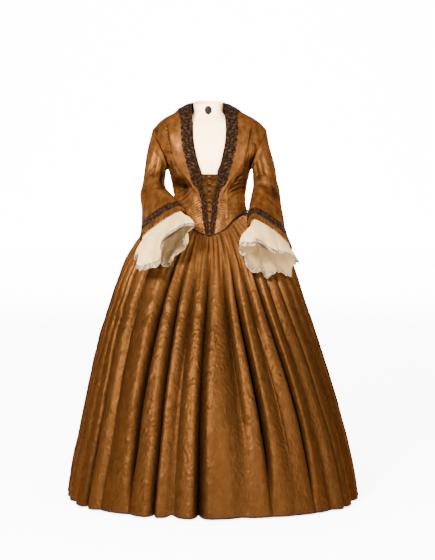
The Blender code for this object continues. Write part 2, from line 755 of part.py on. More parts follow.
def build_sleeve(side, silk, lace):
    """A pagoda sleeve, the lace band near its edge and the frill at its edge."""
    outer = [[sleeve_point(side, turn, along) for turn in turns(SLEEVE_STEPS)] for along in SLEEVE_ROWS]
    middles = [sum(line, Vector()) / len(line) for line in outer]

    def inward(point, row):
        return middles[row] - point

    inner = inner_grid(outer, SILK_WALL, True, inward)
    inset = ARMHOLE_GAP + SILK_WALL
    inner[0] = [armhole_point(SIDES[side], turn, inset) for turn in turns(SLEEVE_STEPS)]
    cloth_wall("sleeve_" + side, outer, inner, silk, closed=True)
    raised, top = [[[sleeve_point(side, turn, along, out) for turn in turns(SLEEVE_STEPS)]
                    for along in LACE_ROWS] for out in (OVERLAY_GAP, OVERLAY_GAP + LACE_WALL)]
    cloth_wall("sleeve_lace_" + side, top, raised, lace, closed=True)
    columns = FRILL_WAVES * 3
    edges = ([], [])
    for along, swell in zip(FRILL_ROWS, FRILL_SWELLS):
        for line in edges:
            line.append([])
        for turn in turns(columns):
            wave = FRILL_WAVE * swell * (1 + math.cos(math.radians(turn * FRILL_WAVES)))
            base = OVERLAY_GAP + wave
            edges[0][-1].append(sleeve_point(side, turn, along, base + LACE_WALL))
            edges[1][-1].append(sleeve_point(side, turn, along, base))
    cloth_wall("sleeve_frill_" + side, edges[0], edges[1], silk, closed=True)


def hem_loop(side, turn):
    """A point of an undersleeve's hem: a smooth closed curve through its table's rows."""
    rows, sign = UNDERSLEEVE_HEMS[side], SIDES[side]
    count = len(rows)
    index = max(number for number, row in enumerate(rows) if row[0] <= turn)
    after = rows[(index + 1) % count]
    end = after[0] if index + 1 < count else 360
    part = (turn - rows[index][0]) / (end - rows[index][0])
    near = [Vector(rows[(index + step) % count][1:]) for step in (-1, 0, 1, 2)]
    place = 0.5 * (2 * near[1] + (near[2] - near[0]) * part
                   + (2 * near[0] - 5 * near[1] + 4 * near[2] - near[3]) * part ** 2
                   + (3 * near[1] - near[0] - 3 * near[2] + near[3]) * part ** 3)
    return Vector((sign * place.x, place.y, place.z - HOLD_HEIGHT))


def undersleeve_point(side, turn, row):
    """The first rows lie inside the sleeve, and the others run from its edge to the hem."""
    if row < len(UNDERSLEEVE_ROWS):
        along, inset = UNDERSLEEVE_ROWS[row]
        half = 180 / SLEEVE_STEPS
        if round(turn / half) % 2:
            return (sleeve_point(side, turn - half, along, -inset)
                    + sleeve_point(side, turn + half, along, -inset)) / 2
        return sleeve_point(side, turn, along, -inset)
    share = UNDERSLEEVE_DROPS[row - len(UNDERSLEEVE_ROWS)]
    along, inset = UNDERSLEEVE_ROWS[-1]
    start = sleeve_point(side, turn, along, -inset)
    end = hem_loop(side, turn)
    centre, _outward, _across = sleeve_section(side, 1.0)
    belly = (start - centre).normalized() * UNDERSLEEVE_BELLY * math.sin(math.pi * share)
    return mix(start, end, share) + belly


def build_undersleeve(side, cotton):
    """A cream undersleeve, tacked inside the pagoda sleeve and falling in waves below it."""
    rows = range(len(UNDERSLEEVE_ROWS) + len(UNDERSLEEVE_DROPS))
    outer = [[undersleeve_point(side, turn, row) for turn in turns(UNDERSLEEVE_STEPS)] for row in rows]
    middles = [sum(line, Vector()) / len(line) for line in outer]

    def inward(point, row):
        return middles[row] - point

    inner = inner_grid(outer, COTTON_WALL, True, inward)
    cloth_wall("undersleeve_" + side, outer, inner, cotton, closed=True)


def lace_heights(bottom, top, steps_each):
    """Heights along the lace, a few to each scallop."""
    count = round((top - bottom) / SCALLOP_PITCH)
    return spaced(bottom, top, count * steps_each), count


def build_lace(lace):
    """The scalloped lace from each shoulder to the waist point, and the lace round the back neck."""
    steps_each = 2
    bottom, top = LACE_BOTTOM, NECK_HEIGHT - 0.001
    heights, count = lace_heights(bottom, top, steps_each)
    for side, sign in SIDES.items():
        outer, inner = [], []
        for step, height in enumerate(heights):
            first = angle_at(height, FRONT.read("lace_inner", height))
            width = FRONT.read("lace_outer", height) - FRONT.read("lace_inner", height)
            cut = SCALLOP_DEPTH * (step % steps_each == 0) * min(width / 0.03, 1)
            last = angle_at(height, FRONT.read("lace_outer", height) - cut)
            last = min(last, 90.0 - seam_angle())
            line = spaced(last, first, 3)
            rise = OVERLAY_GAP + GATHER_RISE * (height < 1.03)
            rise += SHOULDER_RISE * ease((height - 1.27) / 0.02)
            outer.append([torso_point(sign * angle, height, rise + LACE_WALL) for angle in line])
            inner.append([torso_point(sign * angle, height, rise) for angle in line])
        cloth_wall("lace_" + side, outer, inner, lace)
    outer, inner = [], []
    for drop in (0.0, 0.5, 1.0):
        outer_line, inner_line = [], []
        for step, angle in enumerate(spaced(90 + seam_angle(), 270 - seam_angle(), 16)):
            depth = BACK_LACE_WIDTH - SCALLOP_DEPTH * (step % 2)
            height = top - depth * drop
            outer_line.append(torso_point(angle, height, OVERLAY_GAP + SHOULDER_RISE + LACE_WALL))
            inner_line.append(torso_point(angle, height, OVERLAY_GAP + SHOULDER_RISE))
        outer.append(outer_line)
        inner.append(inner_line)
    cloth_wall("lace_back_neck", outer, inner, lace)


def collar_point(angle, share, out=0.0):
    """A point of the stand collar: angle from the centre front, share from its foot to its top."""
    turn = math.radians(angle)
    depth = COLLAR_FRONT if math.cos(turn) > 0 else COLLAR_BACK
    top = mix(COLLAR_TOP_BACK, COLLAR_TOP_FRONT, ease((1 + math.cos(turn)) / 2))
    return Vector((COLLAR_CENTRE + (COLLAR_HALF_WIDTH + out) * math.sin(turn),
                   -(depth + out) * math.cos(turn), mix(COLLAR_FOOT, top, share) - HOLD_HEIGHT))


def chemisette_wall(name, heights, turn_in_from, body_angle, facing, inset, cotton):
    """Half of the chemisette: it follows the bodice from inside, then turns in to the collar's foot."""
    top = COLLAR_FOOT - SEAM_GAP
    faces = []
    for out in (0.0, -COTTON_WALL):
        rows = []
        for height in heights:
            turn_in = ease((height - turn_in_from) / (top - turn_in_from))
            line = []
            for share in spaced(-1.0, 1.0, CHEMISETTE_COLUMNS):
                body = torso_point(facing + body_angle(height) * share, height, out - inset)
                ring = collar_point(facing + 88 * share, 0.0, out)
                ring.z = height - HOLD_HEIGHT
                line.append(mix(body, ring, turn_in))
            rows.append(line)
        faces.append(rows)
    cloth_wall(name, faces[0], faces[1], cotton)


def build_chemisette(cotton):
    """The chemisette's front and back under the bodice, and its stand collar."""
    def front_angle(height):
        return angle_at(height, FRONT.read("lace_inner", height) + CHEMISETTE_MARGIN)

    def back_angle(_height):
        return CHEMISETTE_BACK_ANGLE

    top = COLLAR_FOOT - SEAM_GAP
    heights = spaced(CHEMISETTE_BOTTOM, CHEMISETTE_TURN_IN, 5) + spaced(CHEMISETTE_TURN_IN, top, 3)[1:]
    chemisette_wall("chemisette_front", heights, CHEMISETTE_TURN_IN, front_angle, 0,
                    CHEMISETTE_INSET, cotton)
    heights = spaced(CHEMISETTE_BACK_FOOT, top, 3)
    chemisette_wall("chemisette_back", heights, CHEMISETTE_BACK_FOOT, back_angle, 180,
                    CHEMISETTE_BACK_INSET, cotton)
    ring = turns(20)
    faces = [[[collar_point(angle, share, out) for angle in ring] for share in (0.0, 1.0)]
             for out in (0.0, -COTTON_WALL)]
    cloth_wall("collar", faces[0], faces[1], cotton, closed=True)


def domed_disc(name, centre, outward, half_width, half_height, rise, sides, finish):
    """A domed disc with a flat back, facing outward: a button or a brooch."""
    across = Vector((0, 0, 1)).cross(outward).normalized()
    up = outward.cross(across)
    rings = ((0.94, 0.0), (1.0, 0.35), (0.70, 0.85))
    points = [centre]
    for size, high in rings:
        for step in range(sides):
            turn = 2 * math.pi * step / sides
            points.append(centre + across * math.cos(turn) * half_width * size
                          + up * math.sin(turn) * half_height * size + outward * rise * high)
    points.append(centre + outward * rise)
    faces = []
    for step in range(sides):
        after = (step + 1) % sides
        faces.append((0, 1 + after, 1 + step))
        for ring in range(len(rings) - 1):
            low, high = 1 + ring * sides, 1 + (ring + 1) * sides
            faces.append((low + step, low + after, high + after, high + step))
        faces.append((len(points) - 1 - sides + step, len(points) - 1 - sides + after, len(points) - 1))
    add_object(name, points, faces, finish)


def build_buttons(covered, metal):
    """Seven covered buttons on the centre front, and the oval brooch on the collar."""
    for number, height in enumerate(BUTTON_HEIGHTS, 1):
        rise = torso_point(0, height + BUTTON_RADIUS) - torso_point(0, height - BUTTON_RADIUS)
        outward = Vector((0, -rise.z, rise.y)).normalized()
        centre = torso_point(0, height) + outward * OVERLAY_GAP
        domed_disc(f"button_{number}", centre, outward, BUTTON_RADIUS, BUTTON_RADIUS,
                   BUTTON_RISE, 8, covered)
    centre = collar_point(0, BROOCH_SHARE)
    centre.y -= BROOCH_GAP
    domed_disc("collar_brooch", centre, Vector((0, -1, 0)), BROOCH_HALF_WIDTH, BROOCH_HALF_HEIGHT,
               BROOCH_RISE, 18, metal)


def build_dress():
    """Clears the scene and builds every piece of the dress."""
    for item in list(bpy.data.objects):
        bpy.data.objects.remove(item)
    silk = new_material("brown_silk", (0.36, 0.17, 0.05), 0.38, sheen=0.2)
    dark = new_material("dark_piping", (0.05, 0.025, 0.015), 0.6)
    braid = new_material("hem_braid", (0.07, 0.045, 0.045), 0.8)
    lace = new_material("dark_lace", (0.06, 0.035, 0.03), 0.85)
    cotton = new_material("cream_cotton", (0.88, 0.80, 0.68), 0.9)
    covered = new_material("covered_button", (0.05, 0.03, 0.02), 0.7)
    metal = new_material("brooch_metal", (0.08, 0.06, 0.05), 0.35, metallic=0.6)
    build_bodice(silk)
    build_piping(dark)
    build_skirt(silk, braid)
    for side in SIDES:
        build_sleeve(side, silk, lace)
        build_undersleeve(side, cotton)
    build_lace(lace)
    build_chemisette(cotton)
    build_buttons(covered, metal)


build_dress()
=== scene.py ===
"""Looks of the brown silk day dress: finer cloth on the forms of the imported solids, trimming and finishes.

Metres, +Z up, the wearer faces -Y and the wearer's left is +X. Heights in the tables are above the floor.
"""
import math

import bpy
import numpy as np
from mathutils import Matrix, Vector


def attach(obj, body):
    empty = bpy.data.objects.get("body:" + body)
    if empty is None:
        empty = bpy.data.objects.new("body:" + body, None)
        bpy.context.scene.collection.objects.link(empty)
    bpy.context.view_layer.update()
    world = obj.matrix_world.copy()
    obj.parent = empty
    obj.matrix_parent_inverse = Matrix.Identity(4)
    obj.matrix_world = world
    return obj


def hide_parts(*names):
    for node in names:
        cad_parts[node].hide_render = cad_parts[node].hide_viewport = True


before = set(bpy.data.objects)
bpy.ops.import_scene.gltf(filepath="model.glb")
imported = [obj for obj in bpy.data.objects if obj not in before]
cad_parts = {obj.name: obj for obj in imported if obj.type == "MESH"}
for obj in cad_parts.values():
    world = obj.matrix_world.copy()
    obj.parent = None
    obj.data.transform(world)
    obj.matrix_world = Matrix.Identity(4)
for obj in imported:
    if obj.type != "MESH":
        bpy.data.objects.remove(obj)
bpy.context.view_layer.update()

HOLD_HEIGHT = 1.290
COTTON_WALL = 0.0007
LACE_WALL = 0.0008
OVERLAY_GAP = 0.0009
LEVEL_HEIGHT = 1.050
NECK_HEIGHT = 1.334
SHOULDER_STRIP_HEIGHT = 1.284
CENTRE_TOP_HEIGHT = 1.091
BUST_FOOT = 1.020
ARMHOLE_MIDDLE = 1.172
ARMHOLE_HALF = 0.063
ARMHOLE_FRONT = 25.0
ARMHOLE_BACK = 28.0
ARMHOLE_TUCK = 0.002
ARMHOLE_BLEND = 0.12
ALLOWANCE = 0.0025
ALLOWANCE_DEPTH = 0.0012
SEAM_GAP = 0.1
SIDE_ANGLE = 90.0
RIDGE_ANGLE = 89.7
UNDER_LACE = 0.006
STRIP_FOLD = 0.0042
SKIRT_BOTTOM = 0.0115
SKIRT_LENGTH = 0.95
SKIRT_TOP_GAP = 0.0014
HEM_BOTTOM = 0.004
CREST_RISE = 0.35
CORNER_FRONT_LEFT = 0.050
CORNER_FRONT_RIGHT = 0.030
CORNER_BACK = 0.018
GATHER_DEPTH = 0.0054
COARSE_GATHERS = 74
FINE_GATHERS = 163
SLEEVE_LENGTH = 0.34
SLEEVE_LACE = (0.885, 0.968)
SLEEVE_FRILL = (0.968, 1.04)
FRILL_PLEATS = 46
UNDERSLEEVE_TUCK = (0.955, 1.05)
FLUTES = 8
SMALL_WAVES = 27
LEAST_AREA_SHARE = 0.301
LEVEL = np.array([1.0, 1.0, 0.0])
SIDES = {"left": 1, "right": -1}
CAMERA_DISTANCE = 6.5
CAMERA_HEIGHT = 1.25
CAMERA_PITCH = 4.6
FOCAL_PX = 1896.0
PHOTO_HEIGHT_PX = 560
AXIS_SHIFT_PX = 8
SENSOR_HEIGHT = 36.0


class Table:
    """Rows under named columns, read along the first column by a smooth curve with no overshoot."""

    def __init__(self, columns, rows):
        self.names = columns.split()
        self.rows = np.array(rows, float)
        self.keys = self.rows[:, 0]

    def slopes(self, values):
        """The curve's slope at each row: the harmonic mean of its two neighbouring slopes."""
        steps = np.diff(values) / np.diff(self.keys)
        before, after = steps[:-1], steps[1:]
        same = before * after > 0
        total = np.where(same, before + after, 1.0)
        inner = np.where(same, 2 * before * after / total, 0.0)
        return np.concatenate([[steps[0]], inner, [steps[-1]]])

    def read(self, name, at):
        """The values of a named column at places along the first column."""
        values = self.rows[:, self.names.index(name)]
        at = np.clip(np.asarray(at, float), self.keys[0], self.keys[-1])
        index = np.clip(np.searchsorted(self.keys, at, side="right") - 1, 0, len(self.keys) - 2)
        span = self.keys[index + 1] - self.keys[index]
        part = (at - self.keys[index]) / span
        square, cube = part ** 2, part ** 3
        slope = self.slopes(values)
        return ((2 * cube - 3 * square + 1) * values[index]
                + (cube - 2 * square + part) * span * slope[index]
                + (3 * square - 2 * cube) * values[index + 1]
                + (cube - square) * span * slope[index + 1])


TORSO = Table("height half_width front back squareness lean", (
    (0.84, 0.17, 0.122, 0.118, 2.1, 0.0),
    (0.884, 0.15, 0.112, 0.107, 2.1, 0.0),
    (0.93, 0.136, 0.102, 0.097, 2.1, 0.0),
    (0.962, 0.1295, 0.096, 0.092, 2.1, 0.0),
    (1.013, 0.1225, 0.09, 0.088, 2.1, 0.0),
    (1.045, 0.127, 0.094, 0.091, 2.1, 0.0),
    (1.075, 0.133, 0.103, 0.096, 2.2, 0.0),
    (1.109, 0.142, 0.115, 0.103, 2.2, 0.0),
    (1.15, 0.166, 0.122, 0.108, 2.3, 0.0),
    (1.185, 0.184, 0.117, 0.11, 2.3, 0.0),
    (1.21, 0.192, 0.108, 0.109, 2.3, 0.0),
    (1.235, 0.196, 0.096, 0.106, 2.3, 0.0),
    (1.26, 0.179, 0.082, 0.1, 2.3, 0.0),
    (1.281, 0.153, 0.071, 0.092, 2.3, -0.002),
    (1.3, 0.119, 0.06, 0.08, 2.2, -0.003),
    (1.322, 0.082, 0.051, 0.066, 2.1, -0.005),
    (1.334, 0.058, 0.047, 0.058, 2.0, -0.005),
))
WAIST = Table("angle height", (
    (0, 0.884), (8, 0.888), (20, 0.904), (38, 0.938), (60, 0.956), (90, 0.962), (130, 0.958), (180, 0.944),
))
FRONT = Table("height lace_inner lace_outer seam strip", (
    (0.88, 0.003, 0.013, 0.009, 0.017),
    (0.905, 0.0065, 0.0175, 0.0125, 0.0215),
    (0.95, 0.01, 0.025, 0.0165, 0.0265),
    (0.998, 0.014, 0.029, 0.02, 0.031),
    (1.035, 0.017, 0.036, 0.026, 0.05),
    (1.068, 0.0265, 0.06, 0.037, 0.068),
    (1.1, 0.026, 0.067, 0.033, 0.096),
    (1.125, 0.035, 0.076, 0.037, 0.112),
    (1.166, 0.045, 0.086, 0.047, 0.1265),
    (1.19, 0.05, 0.092, 0.051, 0.131),
    (1.24, 0.0545, 0.096, 0.0555, 0.14),
    (1.3, 0.0535, 0.0985, 0.0545, 0.148),
    (1.334, 0.052, 0.105, 0.0535, 0.15),
))
SIDE_BACK = Table("height angle", (
    (0.93, 161.0), (1.013, 158.0), (1.08, 150.0), (1.13, 138.0), (1.172, 119.2),
))
SPREAD = Table("drop side front back lean", (
    (0.0, 0.0, 0.0, 0.0, 0.0),
    (0.033, 0.047, 0.034, 0.066, 0.0),
    (0.065, 0.084, 0.062, 0.114, -0.001),
    (0.101, 0.114, 0.09, 0.15, -0.002),
    (0.138, 0.137, 0.114, 0.178, -0.003),
    (0.181, 0.157, 0.139, 0.203, -0.005),
    (0.246, 0.18, 0.174, 0.234, -0.006),
    (0.31, 0.199, 0.204, 0.26, -0.006),
    (0.375, 0.219, 0.233, 0.284, -0.005),
    (0.462, 0.244, 0.268, 0.312, -0.003),
    (0.55, 0.267, 0.3, 0.338, 0.0),
    (0.636, 0.287, 0.328, 0.361, 0.003),
    (0.724, 0.308, 0.354, 0.382, 0.006),
    (0.812, 0.327, 0.378, 0.402, 0.008),
    (0.9, 0.344, 0.399, 0.421, 0.008),
    (1.0, 0.358, 0.418, 0.438, 0.008),
))

# The skirt's folds, a row for each valley: its angle at the waist and at the hem, its depth a quarter
# down, halfway and at the hem, the lift of the hem there, and where the ridge to the next valley stands.
FOLD_NAMES = "waist hem upper middle lower lift crest".split()
SKIRT_FOLDS = np.array((
    (1, -4, 0.022, 0.05, 0.068, 0.01, 0.4),
    (11, 12, 0.014, 0.018, 0.006, 0.0, 0.5),
    (17, 20, 0.018, 0.034, 0.01, 0.0, 0.5),
    (25, 28, 0.012, 0.008, 0.006, 0.0, 0.55),
    (32, 36, 0.02, 0.038, 0.01, 0.0, 0.45),
    (41, 42, 0.012, 0.01, 0.008, 0.0, 0.75),
    (48, 49, 0.018, 0.036, 0.056, 0.004, 0.55),
    (58, 60, 0.014, 0.016, 0.012, 0.0, 0.5),
    (70, 72, 0.02, 0.04, 0.05, 0.006, 0.35),
    (79, 80, 0.012, 0.014, 0.01, 0.0, 0.5),
    (92, 94, 0.016, 0.03, 0.036, 0.0, 0.6),
    (101, 104, 0.014, 0.014, 0.01, 0.0, 0.5),
    (113, 115, 0.02, 0.042, 0.052, 0.004, 0.4),
    (122, 123, 0.012, 0.018, 0.022, 0.0, 0.55),
    (131, 134, 0.014, 0.016, 0.012, 0.0, 0.5),
    (144, 146, 0.022, 0.04, 0.048, 0.006, 0.65),
    (153, 154, 0.012, 0.014, 0.018, 0.0, 0.5),
    (166, 165, 0.018, 0.034, 0.044, 0.0, 0.4),
    (175, 176, 0.014, 0.016, 0.012, 0.0, 0.5),
    (188, 187, 0.022, 0.042, 0.052, 0.006, 0.55),
    (197, 198, 0.012, 0.018, 0.014, 0.0, 0.5),
    (206, 207, 0.016, 0.03, 0.034, 0.0, 0.4),
    (219, 219, 0.014, 0.016, 0.012, 0.0, 0.6),
    (228, 229, 0.02, 0.04, 0.05, 0.004, 0.5),
    (237, 238, 0.012, 0.014, 0.02, 0.0, 0.5),
    (250, 250, 0.018, 0.032, 0.038, 0.0, 0.45),
    (259, 260, 0.012, 0.016, 0.012, 0.0, 0.55),
    (271, 273, 0.018, 0.034, 0.044, 0.004, 0.5),
    (280, 282, 0.012, 0.012, 0.01, 0.0, 0.5),
    (288, 291, 0.018, 0.03, 0.036, 0.0, 0.55),
    (297, 301, 0.012, 0.02, 0.026, 0.0, 0.4),
    (303, 313, 0.018, 0.04, 0.06, 0.006, 0.4),
    (314, 320, 0.012, 0.014, 0.006, 0.0, 0.45),
    (334, 331, 0.024, 0.038, 0.012, 0.0, 0.5),
    (343, 341, 0.018, 0.036, 0.054, 0.006, 0.45),
    (352, 347, 0.012, 0.014, 0.012, 0.008, 0.5),
))
DEPTH_DROPS = np.array((0.0, 0.25, 0.55, 1.0))

# Each width of the skirt and the valley that it starts in.
SKIRT_PANELS = (
    ("skirt_front_left", 4),
    ("skirt_back_left", 10),
    ("skirt_back", 15),
    ("skirt_back_right", 21),
    ("skirt_front_right", 27),
    ("skirt_front", 33),
)
FOLD_COLUMNS = 26
SKIRT_ROWS = 160
VALLEY_POWERS = (1.9, 4.6)
DEEP_FOLD = 0.034

# How far each ridge leans over the valley before it (above 0) or after it (below 0).
RIDGE_LEANS = np.array((
    1.0, 0.2, -0.3, 0.3, -0.3, -1.0, 0.3, -0.5, 0.6, -0.4, 0.5, -0.6,
    0.4, 0.6, -0.5, 0.8, -0.4, 0.5, -0.6, 0.7, 0.3, -0.8, 0.5, -0.3,
    0.6, -0.6, 0.4, -0.7, 0.5, -0.3, 0.4, 0.9, -0.2, -0.5, 0.3, -0.3,
))
LEAN_REACH = 0.012
LEAN_PLACE = 0.16
SLOT_WIDTH = 0.009
SLOT_SHARE = 0.30

# The hem binding's section: how far out from the cloth, and what share of its height down.
HEM_FOLD = ((0.0, 0.0002), (0.0004, 0.3), (0.0004, 0.7), (0.0002, 0.94), (-0.0008, 1.0), (-0.0018, 0.94),
            (-0.0022, 0.7), (-0.0022, 0.3), (-0.0020, 0.0002))

SLEEVE_COLUMNS = "along outer_x outer_y outer_height inner_x inner_y inner_height front back"
SLEEVES = {
    "left": Table(SLEEVE_COLUMNS, (
        (0.0, 0.197, 0.0, 1.235, 0.143, 0.0, 1.109, 0.052, 0.052),
        (0.12, 0.204, -0.002, 1.194, 0.149, -0.002, 1.101, 0.054, 0.054),
        (0.24, 0.216, -0.008, 1.146, 0.149, -0.012, 1.084, 0.051, 0.056),
        (0.37, 0.228, -0.02, 1.095, 0.147, -0.03, 1.064, 0.046, 0.058),
        (0.5, 0.235, -0.04, 1.048, 0.146, -0.065, 1.046, 0.04, 0.06),
        (0.62, 0.24, -0.07, 1.002, 0.145, -0.11, 1.027, 0.032, 0.062),
        (0.75, 0.246, -0.115, 0.956, 0.143, -0.16, 1.008, 0.024, 0.064),
        (0.87, 0.254, -0.155, 0.906, 0.143, -0.205, 0.986, 0.02, 0.066),
        (1.0, 0.27, -0.19, 0.856, 0.143, -0.24, 0.956, 0.018, 0.066),
    )),
    "right": Table(SLEEVE_COLUMNS, (
        (0.0, 0.197, 0.0, 1.235, 0.143, 0.0, 1.109, 0.052, 0.052),
        (0.12, 0.207, -0.002, 1.197, 0.15, -0.002, 1.098, 0.054, 0.054),
        (0.24, 0.217, -0.008, 1.149, 0.151, -0.012, 1.084, 0.051, 0.056),
        (0.37, 0.223, -0.018, 1.098, 0.152, -0.032, 1.066, 0.046, 0.058),
        (0.5, 0.227, -0.035, 1.049, 0.148, -0.07, 1.05, 0.04, 0.06),
        (0.62, 0.23, -0.065, 1.008, 0.138, -0.125, 1.039, 0.032, 0.062),
        (0.75, 0.228, -0.11, 0.965, 0.122, -0.175, 1.026, 0.024, 0.064),
        (0.87, 0.227, -0.15, 0.924, 0.107, -0.22, 1.008, 0.02, 0.066),
        (1.0, 0.228, -0.185, 0.884, 0.09, -0.26, 0.984, 0.018, 0.066),
    )),
}

# Points of each hem round the arm: turn in degrees, then x, y and height.
UNDERSLEEVE_HEMS = {
    "left": (
        (0, 0.292, -0.165, 0.79), (30, 0.283, -0.235, 0.822), (60, 0.262, -0.29, 0.836),
        (90, 0.232, -0.318, 0.838), (115, 0.2, -0.33, 0.846), (140, 0.17, -0.32, 0.872),
        (165, 0.132, -0.3, 0.866), (190, 0.1, -0.27, 0.838), (215, 0.126, -0.248, 0.812),
        (240, 0.148, -0.256, 0.776), (265, 0.178, -0.222, 0.764), (290, 0.206, -0.224, 0.758),
        (315, 0.24, -0.19, 0.76), (340, 0.268, -0.172, 0.764),
    ),
    "right": (
        (0, 0.236, -0.17, 0.812), (25, 0.243, -0.225, 0.824), (50, 0.226, -0.262, 0.79),
        (75, 0.196, -0.292, 0.784), (95, 0.166, -0.316, 0.8), (112, 0.158, -0.334, 0.85),
        (130, 0.148, -0.338, 0.888), (150, 0.112, -0.334, 0.914), (172, 0.07, -0.322, 0.934),
        (195, 0.062, -0.296, 0.916), (225, 0.086, -0.268, 0.86), (260, 0.124, -0.25, 0.812),
        (295, 0.16, -0.226, 0.788), (330, 0.2, -0.196, 0.796),
    ),
}
UNDERSLEEVE_INSET = 0.0045
UNDERSLEEVE_BELLY = 0.010

COLLAR_CENTRE = -0.004
COLLAR_HALF_WIDTH = 0.050
COLLAR_FRONT = 0.053
COLLAR_BACK = 0.050
COLLAR_FOOT = 1.306
COLLAR_TOP_FRONT = 1.328
COLLAR_TOP_BACK = 1.342
CHEMISETTE_BOTTOM = 1.062
CHEMISETTE_MARGIN = 0.016
CHEMISETTE_INSET = 0.0042
CHEMISETTE_BACK_INSET = 0.0080
CHEMISETTE_BACK_ANGLE = 38
CHEMISETTE_TURN_IN = 1.262
CHEMISETTE_BACK_FOOT = 1.250
BUTTON_HEIGHTS = (1.078, 1.055, 1.035, 0.998, 0.967, 0.930, 0.902)
LACE_BOTTOM = 0.894
SCALLOP_PITCH = 0.019
SCALLOP_DEPTH = 0.004
LACE_LAP = 0.005
LACE_RISE = OVERLAY_GAP + LACE_WALL + 0.0022
NECK_LACE_RISE = OVERLAY_GAP + LACE_WALL + 0.003
LACE_ROWS = 8
NECK_SCALLOPS = 16
FLUTE_DEPTH = 0.012
PLEAT_DEPTH = 0.003
PIPING_RADIUS = 0.0026
BUTTON_RADIUS = 0.0046
BROOCH_SIZE = (0.012, 0.0148, 0.005)

# A dome's rings from its back to its top: their share of its radius and of its height.
DOME_RINGS = ((0.94, 0.0), (1.0, 0.25), (0.95, 0.5), (0.8, 0.76), (0.55, 0.93), (0.25, 0.99))

# Creases of the fronts: distance from the centre front and height of one end, then of the other, then
# the bend, width and depth, in metres.
FRONT_CREASES = {
    "right": (
        (0.181, 1.202, 0.153, 1.148, 0.004, 0.006, -0.005),
        (0.153, 1.15, 0.138, 1.112, 0.002, 0.005, -0.005),
        (0.156, 1.17, 0.112, 1.158, -0.003, 0.0045, -0.004),
        (0.12, 1.16, 0.103, 1.1, 0.003, 0.005, -0.005),
        (0.104, 1.146, 0.078, 1.09, 0.004, 0.0045, -0.0048),
        (0.132, 1.15, 0.12, 1.09, 0.003, 0.005, -0.0035),
        (0.128, 1.078, 0.078, 1.072, 0.003, 0.007, -0.0045),
        (0.128, 1.064, 0.066, 1.056, 0.004, 0.008, -0.0065),
        (0.122, 1.05, 0.062, 1.048, 0.003, 0.004, -0.0035),
        (0.114, 1.082, 0.092, 1.098, 0.003, 0.005, 0.003),
        (0.118, 1.028, 0.08, 1.052, 0.004, 0.004, -0.003),
        (0.116, 1.014, 0.072, 1.042, 0.004, 0.0036, -0.0028),
        (0.11, 0.998, 0.064, 1.03, 0.003, 0.0034, -0.0026),
        (0.108, 0.984, 0.066, 1.01, 0.003, 0.0032, -0.002),
        (0.1, 0.968, 0.06, 0.992, 0.002, 0.0032, -0.0018),
    ),
    "left": (
        (0.158, 1.2, 0.156, 1.158, 0.002, 0.006, -0.004),
        (0.156, 1.16, 0.14, 1.112, 0.003, 0.0055, -0.0055),
        (0.137, 1.176, 0.123, 1.1, 0.003, 0.004, -0.0045),
        (0.148, 1.18, 0.134, 1.104, 0.002, 0.004, -0.004),
        (0.128, 1.15, 0.116, 1.092, 0.002, 0.0035, -0.0035),
        (0.122, 1.094, 0.09, 1.066, -0.004, 0.0042, -0.0065),
        (0.065, 1.036, 0.117, 1.062, 0.004, 0.004, -0.0045),
        (0.066, 1.026, 0.124, 1.047, 0.004, 0.004, -0.0042),
        (0.074, 1.052, 0.118, 1.076, 0.003, 0.0036, -0.0036),
        (0.076, 1.016, 0.124, 1.034, 0.003, 0.0034, -0.0024),
        (0.058, 1.0, 0.114, 1.012, 0.003, 0.003, -0.001),
        (0.057, 0.984, 0.118, 0.998, 0.003, 0.003, -0.001),
        (0.056, 0.966, 0.114, 0.98, 0.003, 0.003, -0.001),
        (0.052, 0.95, 0.104, 0.966, 0.003, 0.003, -0.001),
        (0.046, 0.932, 0.084, 0.948, 0.002, 0.003, -0.001),
    ),
}
SHIRR_PITCH = 0.009
SHIRR_DEPTH = 0.0034
SHIRR_TOP = 1.030
SHIRR_REACH = 0.065
SHIRR_SLOPE = Table("height slope", ((0.88, 0.16), (0.93, 0.36), (0.98, 0.6), (1.03, 0.75)))
GATHER_COLUMN = (0.034, 0.056)
GATHER_PITCH = 0.008
GATHER_TOP = 1.035
STITCH_LINE = ((0.147, 1.249), (0.130, 1.168))
STITCH_PITCH = 0.0115
STITCH_RISE = 0.0018
STITCH_REACH = 0.0045
CREASE_STRENGTH = 1.1

# Creases of each sleeve: turn in degrees and share along of one end, then of the other, then the bend,
# the width in degrees and the depth in metres.
SLEEVE_CREASES = {
    "right": (
        (20, 0.5, 150, 0.6, 10, 9, -0.0065),
        (10, 0.6, 130, 0.67, -8, 12, 0.005),
        (62, 0.16, 112, 0.5, 8, 20, -0.006),
        (115, 0.12, 150, 0.44, 5, 14, -0.005),
        (20, 0.08, 60, 0.34, 6, 26, 0.0035),
        (140, 0.3, 160, 0.62, 4, 9, -0.005),
        (30, 0.68, 110, 0.8, 6, 14, 0.003),
    ),
    "left": (
        (24, 0.48, 150, 0.53, 10, 7, -0.006),
        (20, 0.55, 140, 0.62, -8, 9, 0.0045),
        (40, 0.62, 120, 0.56, 6, 8, -0.0045),
        (74, 0.14, 96, 0.44, 5, 13, -0.0045),
        (112, 0.12, 132, 0.46, 5, 12, -0.0055),
        (34, 0.18, 52, 0.42, 4, 18, 0.003),
        (45, 0.68, 130, 0.76, 6, 12, -0.003),
        (60, 0.74, 120, 0.84, -6, 12, 0.003),
    ),
}
HIDDEN_SLEEVE_CREASES = (
    (200, 0.3, 260, 0.5, 8, 12, -0.005),
    (300, 0.35, 350, 0.56, 8, 12, -0.005),
    (230, 0.12, 250, 0.34, 6, 12, -0.004),
)
CREASE_SPAN = 160.0


def mix(first, second, amount):
    """Values between two others."""
    return first + (second - first) * amount


def ease(amount):
    """Turns a straight 0 to 1 into a soft one."""
    amount = np.clip(amount, 0.0, 1.0)
    return amount * amount * (3 - 2 * amount)


